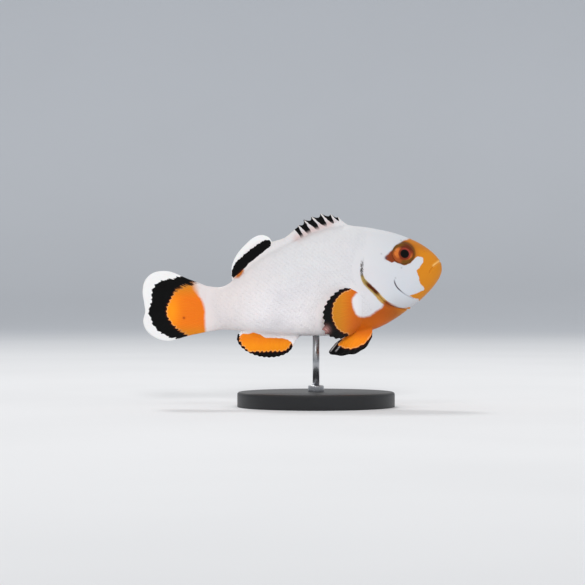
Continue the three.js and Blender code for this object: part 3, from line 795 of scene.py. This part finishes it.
def add_body(surface):
    """The skin of the body, the tail and the unpaired fins; returns what the scales are set out by."""
    body = body_half()
    tail = tail_half(body)
    g = SimpleNamespace(**{n: np.vstack([getattr(body, n), getattr(tail, n)]) for n in CHANNELS})
    p = stacked(g.x, g.y, g.z)
    place = p[..., [0, 2]]
    flow = flow_map(p)
    height, from_eye = relief(place, p, flow[..., 0])
    bare = 1 - smoothstep(g.fin / 0.5)
    p = p + skin_normals(p) * (height * bare)[..., None]
    p[..., 1] = np.maximum(p[..., 1] + fin_relief(g), 0)
    p[:, [0, -1], 1] = 0
    p[-1, :, 1] = 0
    wave = np.zeros(g.x.shape)
    wave[RINGS:] = TAIL_WAVE * (g.up**2 * np.sin(2.6 * math.pi * g.ray / TAIL_RAYS))[RINGS:]

    values = skin_values(g, place, from_eye)
    halves = {}
    for side in (-1, 1):
        points = stacked(p[..., 0], side * p[..., 1] + wave, p[..., 2])
        halves[side] = surface.add_points(points, **values)
    # the two halves share the vertices of the midline and of the tail's margin
    for rows, columns in ((slice(None), 0), (slice(None), -1), (-1, slice(None)), (0, slice(None))):
        halves[1][rows, columns] = halves[-1][rows, columns]
    uv = flow.copy()
    uv[..., 1] -= uv[..., 1].min()
    depth = uv[..., 1].max() + 1.5
    shifts = {side: np.array([1.0, 1.0 if side < 0 else 1.0 + depth]) for side in halves}
    for side, index in halves.items():
        surface.add_grid(index, uv + shifts[side], flip=side > 0)
    return SimpleNamespace(p=p, normal=skin_normals(p), flow=flow, uv=uv, shifts=shifts, values=values)


def on_skin(body, channels, spots):
    """Channels of the half grid at places given as lengths along the fish and around it."""
    along = body.flow[:, 0, 0]
    row = np.clip(np.searchsorted(along, spots[:, 0]) - 1, 0, len(along) - 2)
    share = (spots[:, 0] - along[row]) / (along[row + 1] - along[row])
    found = np.empty((len(spots), channels.shape[-1]))
    for i in np.unique(row):
        here = row == i
        ends = [
            stacked(*(np.interp(spots[here, 1], body.flow[j, :, 1], c) for c in channels[j].T))
            for j in (i, i + 1)
        ]
        found[here] = ends[0] + (ends[1] - ends[0]) * share[here, None]
    return found


def scale_roots(body):
    """Where scales grow, and how far each stands out: none on the head, the fins and their roots."""
    along, around = body.flow[..., 0], body.flow[..., 1]
    rows = np.arange(int(around.min() / SCALE.row) + 1, int(around.max() / SCALE.row))[:, None]
    column = np.arange(int(along.max() / SCALE.pitch))[None, :] + 0.5 * (rows % 2)
    spots = stacked(column * SCALE.pitch, rows * SCALE.row).reshape(-1, 2)
    channels = np.dstack([body.p, body.values["gill"], body.values["fin"]])
    x, y, z, gill, fin = on_skin(body, channels, spots).T
    place = stacked(x, z)
    room = [
        (-gill - 0.8) / 1.5,  # behind the gill opening
        (17.5 - x) / 3,  # and the throat
        (0.2 - fin) / 0.2,  # off the fins
        (x - TAIL_ROOT_X) / 2,
        (y - 0.5) / 0.8,  # off the midline of back and belly
    ]
    for spec in (PECTORAL, PELVIC):
        room.append((-0.8 - inside_by(place, spec.root + spec.margin[::-1])) / 0.5)
    grown = smoothstep(np.min(room, axis=0))
    return spots[grown > 0.1], grown[grown > 0.1]


def add_scales(surface, body):
    """Thin overlapping scales, rooted in the skin, each with its round free edge to the tail."""
    spots, grown = scale_roots(body)
    grown = grown * np.random.default_rng(11).uniform(0.8, 1.1, len(grown))
    grown = grown[:, None, None]
    # a scale's plate from its root (t = 0) to its free edge, whose sides and end are turned into the skin
    t = np.array([0.3, 0.65, 0.97, 1.0, 1.0])[:, None]
    s = np.array([-1.0, -0.96, -0.4, 0.4, 0.96, 1.0])[None, :]
    turned_in = (np.abs(s) == 1) | (np.arange(len(t))[:, None] == len(t) - 1)
    along = SCALE.length * (t * (1 - 0.33 * s**2) - 0.5)
    across = SCALE.half * s * np.sqrt(1 - 0.5 * (1 - t) ** 2)
    rise = (SCALE.lift + SCALE.root) * t - SCALE.root - 0.01 * s**2
    rise = rise + SCALE.root * 0.6 * (grown - 1)
    height = np.where(turned_in, -SCALE.root, -SCALE.root + (rise + SCALE.root) * grown)
    places = spots[:, None, None, :] + stacked(along, across)
    names = list(body.values)
    grids = [np.broadcast_to(body.values[n], body.p.shape[:-1]) for n in names]
    channels = np.concatenate([body.p, body.normal, np.stack(grids, -1)], -1)
    found = on_skin(body, channels, places.reshape(-1, 2)).reshape(*places.shape[:-1], -1)
    p = found[..., :3] + found[..., 3:6] * height[..., None]
    values = {n: found[..., 6 + i] for i, n in enumerate(names)}
    root_uv = on_skin(body, body.uv, spots)[:, None, None, :]
    patch = stacked(along / SCALE.length, across / SCALE.half / 2) * SCALE.patch * UV_SIZE
    for side in (-1, 1):
        index = surface.add_points(p * np.array([1, side, 1]), **values)
        for one, uv in zip(index, root_uv + patch + body.shifts[side]):
            surface.add_grid(one, uv, flip=side > 0)


def paired_values(spec, place, v, ray):
    """All that the skin's material reads on a pectoral or pelvic fin."""
    x, z = place[..., 0], place[..., 1]
    if spec is PECTORAL:
        to_chest = smoothstep((x - 6.5) / 4.5)
        marks = dict(orange=inside_by(place, ORANGE_PECTORAL), black=inside_by(place, BLACK_PECTORAL),
                     frayed=ridge(distance_from(place, FRAYED), 1.0))
    else:
        to_chest = 0.8 * smoothstep((z - 17.5) / 3)
        streak = np.max([ridge(beside(place, line)[0], 0.12) for line in PELVIC_STREAKS], axis=0)
        marks = dict(orange=1.0, black=-inside_by(place, ORANGE_PELVIC), streak=streak)
    return dict(
        PLAIN_MARKS, **marks, saw=spec.saw, soft=0.4, golden=spec.golden * (1 - to_chest),
        ochre=(1 - spec.golden) * smoothstep((10.5 - x) / 5), rusty=0.4 * to_chest, ray=ray,
        up=np.clip(v, 0, 1), fin=smoothstep((v - 0.1) / 0.35),
    )


def paired_faces(spec):
    """The faces of a pectoral or pelvic fin, which rise out of the body's skin and meet at the margin.

    u runs along the root and v out to the margin. The result is the place in side view, how far the outer
    and the inner face lie from the midline, v and the place among the rays.
    """
    across, out = spec.grid
    u = np.linspace(0, 1, across + 1)[None, :]
    buried = 0.16  # how far v runs back into the body
    v = np.linspace(-buried, 1, out + 1)[:, None]
    root = line_through(spec.root)(u[0])[None]
    span = line_through(spec.margin)(u[0])[None] - root
    length = norm(span)
    ray = spec.rays * u
    wave = np.cos(math.tau * ray)
    grow = 1 + spec.serration * wave * smoothstep(v) / np.maximum(length, 1)
    place = root + span * (v * grow)[..., None]
    x, z = place[..., 0], place[..., 1]
    if spec.offset is None:
        middle = flank(root[..., 0], root[..., 1]) - spec.sunk + (root[..., 0] - x) * spec.tilt
    else:
        middle = spec.offset + (root[..., 1] - z) * spec.tilt
    middle = middle - np.interp(u, (0, 1), spec.cup) * np.maximum(v, 0) * (2 * u - 1) ** 2
    rim = round_rim(np.minimum((1 - v) * length, 12 * np.minimum(u, 1 - u)), 0.3)
    thick = spec.thick + (spec.root_thick - spec.thick) * np.clip(1 - v, 0, 1 + buried) ** 2.4
    fork = smoothstep((v - 0.4) / 0.2)
    ridges = RELIEF.paired_ray * (wave * (1 - fork) + np.cos(2 * math.tau * ray) * fork)
    half = (thick / 2 + ridges * smoothstep((v - 0.15) / 0.3)) * rim

    # the outer face runs into the body's skin with a fillet and ends just under it
    fillet, under = 0.9, 0.04
    body = flank(x, z)
    outer = middle + half
    gap = np.clip(1 - np.abs(outer - body) / fillet, 0, 1)
    joined = np.maximum(outer, body) + gap**2 * fillet / 4
    outer = joined - under * (1 - np.clip((joined - body) / 0.1, 0, 1))
    inner = middle - half
    outer = np.where(rim > 0, np.maximum(outer, inner), inner)
    outer = np.where((u <= 0) | (u >= 1) | (v >= 1), inner, outer)
    return place, outer, inner, v, ray


def paired_fin(surface, spec, side, corner):
    """Add a paired fin; corner is its place on the UV square, and the result each face's height there."""
    place, outer, inner, v, ray = paired_faces(spec)
    values = paired_values(spec, place, v, ray)
    x, z = place[..., 0], place[..., 1]
    faces = [surface.add_points(stacked(x, side * y, z), **values) for y in (outer, inner)]
    faces[1][:, [0, -1]] = faces[0][:, [0, -1]]
    faces[1][-1] = faces[0][-1]
    uv = place - place.min(axis=(0, 1))
    depth = uv[..., 1].max()
    for i, index in enumerate(faces):
        surface.add_grid(index, uv + corner + np.array([0, i * (depth + 1)]), flip=(side < 0) == (i == 0))
    # a strip inside the body closes the root
    strip = np.stack([faces[0][0], faces[1][0]])
    surface.add_grid(strip, np.stack([uv[0], uv[0]]) + corner, flip=side > 0)
    return depth


# ---------------- material building
def formula(operation, swapped=False):
    """A method that adds a math node on a value and what it is combined with."""
    def apply(self, *others):
        values = (self, *others)
        return self.graph.math(operation, *(values[::-1] if swapped else values))

    return apply


class Value:
    """A number in a material, so that formulas can be written as such."""

    def __init__(self, graph, socket):
        self.graph = graph
        self.socket = socket

    __add__ = __radd__ = formula("ADD")
    __sub__ = formula("SUBTRACT")
    __rsub__ = formula("SUBTRACT", swapped=True)
    __mul__ = __rmul__ = formula("MULTIPLY")
    __truediv__ = formula("DIVIDE")
    __abs__ = formula("ABSOLUTE")


class Graph:
    """Short ways to add shader nodes to a material; numbers come back as Values, colours as sockets."""

    def __init__(self, name):
        self.material = bpy.data.materials.new(name)
        self.material.use_nodes = True
        self.tree = self.material.node_tree
        self.shader = self.tree.nodes["Principled BSDF"]

    def feed(self, socket, value):
        value = getattr(value, "socket", value)
        if isinstance(value, bpy.types.NodeSocket):
            self.tree.links.new(value, socket)
        else:
            socket.default_value = value

    def node(self, kind, inputs=(), **settings):
        made = self.tree.nodes.new(kind)
        for key, value in settings.items():
            setattr(made, key, value)
        for key, value in dict(inputs).items():
            self.feed(made.inputs[key], value)
        return made

    def attribute(self, name):
        return Value(self, self.node("ShaderNodeAttribute", attribute_name=name).outputs["Fac"])

    def attributes(self, *names):
        return [self.attribute(name) for name in names]

    def math(self, operation, *values):
        return Value(self, self.node("ShaderNodeMath", enumerate(values), operation=operation).outputs[0])

    def ramp(self, value, low, high, to_low=0.0):
        """Smooth step of a value from low to high, from to_low to 1."""
        inputs = enumerate((value, low, high, to_low))
        made = self.node("ShaderNodeMapRange", inputs, interpolation_type="SMOOTHSTEP")
        return Value(self, made.outputs[0])

    def mix(self, factor, first, second):
        shades = {"Factor": factor, 6: colour(first), 7: colour(second)}
        return self.node("ShaderNodeMix", shades, data_type="RGBA").outputs[2]

    def layered(self, under, *layers):
        """Colours laid over each other, each by its own factor."""
        for factor, shade in layers:
            under = self.mix(factor, under, shade)
        return under

    def place(self):
        """Object space as a vector, in metres."""
        return self.node("ShaderNodeTexCoord").outputs["Object"]

    def axes(self):
        split = self.node("ShaderNodeSeparateXYZ", {"Vector": self.place()})
        return [Value(self, output) for output in split.outputs]

    def vector(self, x, y):
        return self.node("ShaderNodeCombineXYZ", enumerate((x, y))).outputs[0]

    def noise(self, scale, detail, stretch=(1, 1, 1), place=None):
        """Noise over object space, with scale in cells per metre, or over another vector."""
        mapping = self.node("ShaderNodeMapping", {"Vector": place or self.place(), "Scale": stretch})
        inputs = {"Vector": mapping.outputs[0], "Scale": scale, "Detail": detail}
        return Value(self, self.node("ShaderNodeTexNoise", inputs).outputs["Fac"])

    def random(self, value):
        """A random number from 0 to 1 for each whole value."""
        made = self.node("ShaderNodeTexWhiteNoise", {"W": value}, noise_dimensions="1D")
        return Value(self, made.outputs["Value"])

    def bump(self, height, distance, strength, **normal):
        inputs = dict(Strength=strength, Distance=distance, Height=height, **normal)
        return self.node("ShaderNodeBump", inputs).outputs["Normal"]

    def finish(self, **sockets):
        """Set the shader's sockets, named in small letters with underscores."""
        names = {socket.name.lower().replace(" ", "_"): socket for socket in self.shader.inputs}
        for key, value in sockets.items():
            self.feed(names[key], value)
        return self.material


def colour(value):
    """An sRGB colour of three 0 to 255 numbers as Blender's linear colour; a socket passes through."""
    if isinstance(value, bpy.types.NodeSocket):
        return value
    linear = [(v / 255 / 12.92) if v <= 10 else ((v / 255 + 0.055) / 1.055) ** 2.4 for v in value]
    return (*linear, 1.0)


# ---------------- skin material
def teeth(g, ray):
    """A saw edge from about -1 to 1: a tooth on each ray, with finer ones between, none quite alike."""
    run = ray + g.noise(0.9, 2, place=g.vector(ray, 4.0)) * 1.2
    saw = -1.0
    for count, height in ((1.0, 3.0), (2.3, 1.3)):
        tooth = run * count
        tall = g.random(g.math("ROUND", tooth)) * 0.9 + 0.55
        saw = g.math("PINGPONG", tooth, 0.5) * tall * height + saw
    return saw


def white_skin(g, x, z, fin, up):
    """White, bluish on the head, pinkish to the tail and brightest on the fins' margins; greyed by painted
    shade under the jaw and over the top, and brighter on the belly, partly real countershading and partly
    painted light.
    """
    return g.layered(
        WHITE.head,
        (g.ramp(x, 0.026, 0.004), WHITE.body),
        (g.ramp(x, -0.005, -0.026), WHITE.stalk),
        # painted shade greys the underside of the lower jaw
        (g.ramp(x, 0.017, 0.022) * g.ramp(z, 0.031, 0.026), WHITE.chin_shade),
        # the belly is painted brighter, partly real countershading and partly painted light against the
        # shade beneath it
        (g.ramp(x, 0.02, 0.0) * g.ramp(z, 0.036, 0.022) * g.ramp(x, -0.026, -0.008, 0.15), WHITE.belly),
        # painted shade greys the top of the head and of the body from its middle forward
        (g.ramp(x, -0.02, -0.008) * g.ramp(z, 0.03, 0.046) * 0.3, WHITE.top_shade),
        (g.ramp(g.noise(70, 3), 0.4, 0.9), WHITE.cloud),
        (g.attribute("blush"), WHITE.rosy),
        (fin * g.ramp(up, 0.45, 0.8), g.mix(g.attribute("spines"), WHITE.margin, WHITE.spines)),
    )


def orange_skin(g, ray, on_rays, black_by):
    """Orange with its tints, pale ribs on the rays, a painted highlight along the mouth's upper edge, and
    paler again where a fin's black begins.
    """
    tone = g.noise(240, 3) * 0.4 - 0.2
    return g.layered(
        ORANGE.plain,
        (g.attribute("golden") + tone, ORANGE.golden),
        (g.attribute("ochre"), ORANGE.ochre),
        (g.attribute("rusty") + tone * 0.4, ORANGE.rusty),
        (g.ramp(g.math("PINGPONG", ray * 2.0, 0.5), 0.3, 0.5) * on_rays * 0.08, ORANGE.rib),
        # painted highlight along the mouth's upper edge
        (g.attribute("lip_highlight"), ORANGE.lip_highlight),
        (g.ramp(abs(black_by + 0.12), 0.2, 0.02) * on_rays * 0.35, ORANGE.pale),
        (g.attribute("dot"), ORANGE.dot),
        (g.attribute("rim"), ORANGE.rim),
    )


def black_skin(g, ray, orange, black_by):
    """Black, brownish where it begins on orange, with a frayed spot and two pale streaks."""
    frayed = g.attribute("frayed")
    return g.layered(
        BLACK.edge,
        (g.ramp(orange, 0.0, 0.1), BLACK.on_orange),
        (g.ramp(black_by, 0.0, 0.55), BLACK.plain),
        (frayed, BLACK.frayed),
        (g.ramp(g.math("PINGPONG", ray * 4.0, 0.5), 0.2, 0.3) * frayed, BLACK.fringe),
        (g.attribute("streak") * 0.8, BLACK.streak),
    )


def with_gill_opening(g, skin):
    """The gill opening: speckled grey, then olive, dark brown with an olive hem, olive and rusty."""
    gill, run = g.attributes("gill", "gill_run")
    speck = g.ramp(g.noise(2600, 1), 0.3, 0.62)
    patch = g.noise(1300, 2) * 0.8 - 0.4
    olive = g.mix(patch + 0.3, GILL.olive, GILL.pale)
    brown = g.mix(g.ramp(gill + patch, -0.2, -0.55), GILL.brown, olive)
    shade = g.layered(
        GILL.grey,
        (g.ramp(run, 0.2, 0.26), olive),
        (g.ramp(run, 0.295, 0.36), brown),
        (g.ramp(run, 0.46, 0.54), GILL.low),
        (g.ramp(run, 0.6, 0.66), GILL.rust),
    )
    wide = patch * 0.3 + g.ramp(run, 0.22, 0.36) * 0.3 + 0.58
    line = g.ramp(abs(gill + 0.12), wide, wide - 0.4) * g.ramp(run, 0.04, 0.1) * g.ramp(run, 0.84, 0.63)
    line = line * g.math("MAXIMUM", speck, g.ramp(run, 0.18, 0.24))
    return g.mix(line, skin, shade)


def skin_material():
    g = Graph("skin")
    orange, black, soft, streaky = g.attributes("orange", "black", "soft", "streaky")
    ray, up, fin, spines = g.attributes("ray", "up", "fin", "spines")
    x, _, z = g.axes()

    # pigment edges wander a little on the body and step from ray to ray on the fins
    wander = g.noise(1100, 3) * 0.5 - 0.25
    on_rays = fin * (1 - spines)
    streaks = g.noise(1.0, 1, place=g.vector(ray * 6.5, up * 4.0)) - 0.5
    orange_by = orange + wander
    black_by = black + wander + teeth(g, ray) * g.attribute("saw") * on_rays + streaks * streaky

    blur = streaky * 0.11 + 0.05
    covered = g.ramp(black_by, blur * -1, blur) * g.attribute("dense")
    skin = g.layered(
        white_skin(g, x, z, fin, up),
        (g.ramp(orange_by, soft * -1, soft), orange_skin(g, ray, on_rays, black_by)),
        (covered, black_skin(g, ray, orange, black_by)),
    )
    cheek, cheek_run = g.attributes("cheek", "cheek_run")
    fold = g.ramp(cheek_run, 0.0, 0.25, 0.2) * g.ramp(cheek_run, 0.8, 0.5, 0.25)
    skin = g.layered(
        with_gill_opening(g, skin),
        (g.ramp(cheek, 0.27, 0.06) * fold, CHEEK_LINE),
        (g.attribute("pores"), PORE),
    )

    normal = g.bump(g.math("SINE", ray * (4 * math.tau)) * on_rays, 0.00002, 0.4)
    normal = g.bump(g.noise(5200, 2), 0.00003, 0.25, Normal=normal)
    return g.finish(
        base_color=skin, roughness=g.noise(1500, 2) * 0.14 + 0.4, normal=normal, ior=1.36,
        specular_ior_level=0.22, coat_weight=0.05, coat_roughness=0.2, subsurface_weight=0.08,
        subsurface_radius=(1.0, 0.5, 0.35), subsurface_scale=0.0006,
    )


# ---------------- eyes
def make_eye(name, side, material):
    """A low dome with its bowl behind, round the skin's own normal."""
    centre, axis = eye_seat(side)
    first = np.cross(axis, (0.0, 0.0, 1.0)) * side
    first /= np.linalg.norm(first)
    second = np.cross(first, axis) * side
    rings, around = 72, 96
    polar = np.linspace(0, math.pi, rings + 1)[:, None]
    turn = np.linspace(0, math.tau, around, endpoint=False)[None, :]
    radial = EYE.radius * np.sin(polar)
    front = polar < math.pi / 2
    height = np.where(front, EYE.dome, EYE.depth) * np.cos(polar) - EYE.sink
    a = radial * np.cos(turn)
    b = radial * np.sin(turn)
    p = centre + a[..., None] * first + b[..., None] * second + height[..., None] * axis
    ahead = a - PUPIL.ahead
    above = b + PUPIL.below
    surface = Surface()
    index = surface.add_points(
        p, eye_ahead=ahead, eye_above=above, eye_out=np.where(front, np.hypot(ahead, above), FAR),
        eye_rim=np.where(front, np.hypot((a - 0.1) / 2.7, (b + 0.05) / 2.1), FAR),
    )
    surface.add_round(index, polar / math.pi, flip=side > 0)
    return surface.build(name, material)


def eye_material():
    g = Graph("eye")
    ahead, above, from_pupil, rim = g.attributes("eye_ahead", "eye_above", "eye_out", "eye_rim")
    spokes = g.noise(7.0, 3, place=g.vector(g.math("ARCTAN2", above, ahead), from_pupil * 0.25))

    def toward(degrees, start, end):
        """1 on the side of the iris that faces an angle, counted from the front over the top."""
        angle = math.radians(degrees)
        return g.ramp((ahead * math.cos(angle) + above * math.sin(angle)) / from_pupil, start, end)

    wander = spokes * 0.3 - 0.15
    lit = g.math("MAXIMUM", toward(160, 0.3, 0.95), toward(315, 0.5, 1.0) * 0.75)
    inner = g.mix(toward(40, -0.6, 0.8), IRIS.inner, IRIS.inner_front)
    ring = g.layered(
        IRIS.rim,
        (toward(40, 0.4, 0.9), IRIS.rim_front),
        (toward(205, 0.6, 0.95), IRIS.rim_back),
    )
    shade = g.layered(
        IRIS.plain,
        (lit, IRIS.lit),
        (g.ramp(spokes, 0.5, 0.8) * 0.6, IRIS.spokes),
        (toward(75, 0.3, 0.95), IRIS.top),
        (g.ramp(from_pupil + wander, 1.85, 1.5), inner),
        (g.ramp(rim + wander * 0.5, 0.84, 1.04), ring),
        (g.ramp(from_pupil, PUPIL.radius + 0.12, PUPIL.radius - 0.05), BLACK.plain),
    )
    return g.finish(
        base_color=shade, roughness=0.4, specular_ior_level=0.1, coat_weight=0.15, coat_roughness=0.03,
        ior=1.36, normal=g.bump(spokes, 0.00008, 0.3),
    )


# ---------------- stand
def turned(name, profile, material, sides=160):
    """A round piece from (radius, height) pairs in millimetres, about the z axis."""
    rows = np.array(profile, float)
    turn = np.linspace(0, math.tau, sides, endpoint=False)[None, :]
    radius, height = rows[:, :1], rows[:, 1:]
    length = run_length(rows)[:, None]
    surface = Surface()
    p = stacked(radius * np.cos(turn), radius * np.sin(turn), height)
    surface.add_round(surface.add_points(p), length / length.max(), flip=True)
    return surface.build(name, material)


def rounded(corners, radii, steps=6):
    """A profile with its corners turned into arcs; a corner with radius 0 stays sharp."""
    corners = [np.array(corner, float) for corner in corners]
    points = []
    for before, here, after, radius in zip(corners[-1:] + corners, corners, corners[1:] + corners, radii):
        if radius == 0:
            points.append(here)
            continue
        start, end = (here + (c - here) / np.linalg.norm(c - here) * radius for c in (before, after))
        for t in np.linspace(0, 1, steps + 1):
            points.append((1 - t) ** 2 * start + 2 * t * (1 - t) * here + t**2 * end)
    return points


def stand_materials():
    coat = Graph("stand_coat")
    grain = coat.noise(2600, 3)
    tone = coat.mix(coat.ramp(coat.noise(60, 2), 0.3, 0.7), (24, 25, 27), (30, 31, 33))
    coat.finish(base_color=tone, roughness=grain * 0.16 + 0.36, normal=coat.bump(grain, 0.00004, 0.4),
                specular_ior_level=0.5)
    steel = Graph("stand_steel")
    lines = steel.noise(1400, 2, stretch=(1, 1, 14))
    tone = steel.mix(lines, (168, 170, 174), (196, 198, 201))
    steel.finish(base_color=tone, metallic=1.0, roughness=lines * 0.18 + 0.2,
                 normal=steel.bump(lines, 0.00001, 0.3))
    return coat.material, steel.material


def stand_pieces():
    coat, steel = stand_materials()
    rim, _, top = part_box("stand_base")[1] / MM
    foot = rounded([(0, 0), (rim, 0), (rim, top), (0, top)], (0, 0.25, 0.8, 0))
    base = turned("stand_base_piece", foot, coat)
    low, high = (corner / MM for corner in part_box("stand_collar"))
    bore, seat = 0.5, low.z - 0.15  # the collar reaches a little into the base
    ring = rounded([(bore, seat), (high.x, seat), (high.x, high.z), (bore, high.z)], (0, 0.1, 0.5, 0))
    collar = turned("stand_collar_piece", ring + [ring[0]], steel, 96)
    low, high = (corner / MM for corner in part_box("stand_rod"))
    end = high.z + 0.35  # and the rod into the belly
    rod = turned("stand_rod_piece", [(0, low.z), (high.x, low.z), (high.x, end), (0, end)], steel, 64)
    for piece, node, slot in ((base, "stand_base", "stand_black"), (collar, "stand_collar", "stand_steel"),
                              (rod, "stand_rod", "stand_steel")):
        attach(piece, "root")
        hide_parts(node)


# ---------------- the fish
def fish_pieces():
    surface = Surface()
    body = add_body(surface)
    corner = np.array([92.0, 1.0])  # where the paired fins start on the UV square
    for spec in (PECTORAL, PELVIC):
        for side in (-1, 1):
            corner[1] += 2 * paired_fin(surface, spec, side, corner) + 3
    coat = Surface()
    add_scales(coat, body)
    material = skin_material()
    skin = surface.build("fish_skin", material, UV_SIZE)
    scales = coat.build("fish_scales", material, UV_SIZE)
    for piece in (skin, scales):
        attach(piece, "root")
    flesh = [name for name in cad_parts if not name.startswith(("stand_", "eye_", "pupil_"))]
    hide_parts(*flesh)
    material = eye_material()
    for label, side in (("right", -1), ("left", 1)):
        eye = make_eye(f"fish_eye_{label}", side, material)
        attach(eye, "root")
        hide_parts(f"eye_{label}", f"pupil_{label}")


# ---------------- studio
def soft_sun(name, toward, power, spread):
    """A wide sun that shines on the fish from a direction; power 1 shows a facing white as white."""
    light = bpy.data.lights.new(name, "SUN")
    light.energy = power * math.pi
    light.angle = math.radians(spread)
    lamp = bpy.data.objects.new(name, light)
    lamp.rotation_euler = Vector(toward).to_track_quat("Z", "Y").to_euler()
    bpy.context.scene.collection.objects.link(lamp)
    return lamp


def add_floor():
    """A pale floor that turns up into a wall all round, far from the fish, and greys outward as a painted
    falloff of light.
    """
    paint = Graph("floor_paint")
    x, y, _ = paint.axes()
    away = paint.math("SQRT", x * x + y * y)
    # paler near the fish and greyer outward: a painted pool of light round the fish
    tone = paint.mix(paint.ramp(away, 0.1, 1.3), (234, 235, 237), (174, 178, 184))
    tone = paint.mix(paint.ramp(paint.noise(9, 2), 0.3, 0.7) * 0.05, tone, (150, 152, 156))
    paint.finish(base_color=tone, roughness=0.9)
    flat, bend = 1200.0, 380.0
    arc = [(flat + bend * math.sin(t), bend - bend * math.cos(t)) for t in np.linspace(0, math.pi / 2, 24)]
    floor = turned("floor", [(0, 0), (200, 0), (500, 0), *arc], paint.material, 128)


def add_lights():
    world = bpy.data.worlds.new("studio")
    world.use_nodes = True
    background = world.node_tree.nodes["Background"]
    background.inputs["Color"].default_value = (1.0, 1.0, 1.0, 1)
    background.inputs["Strength"].default_value = 0.67
    bpy.context.scene.world = world
    soft_sun("key", (-0.2, -0.65, 0.8), 0.06, 12)
    soft_sun("front", (0.05, -1.0, 0.36), 0.4, 10).visible_glossy = False
    soft_sun("back", (-0.2, 0.65, 0.8), 0.25, 12)


def add_camera():
    """Level and square to the fish's right side; view_wide is what it sees at the fish."""
    view_wide, distance = 0.156, 0.6
    camera = bpy.data.cameras.new("camera")
    camera.lens = camera.sensor_width * distance / view_wide
    camera.clip_start = 0.01
    eye = bpy.data.objects.new("camera", camera)
    eye.location = (-0.00627, -distance, 0.03047)
    eye.rotation_euler = (math.pi / 2, 0, 0)
    bpy.context.scene.collection.objects.link(eye)
    bpy.context.scene.camera = eye


fish_pieces()
stand_pieces()
add_floor()
add_lights()
add_camera()
bpy.context.scene.view_settings.view_transform = "Standard"
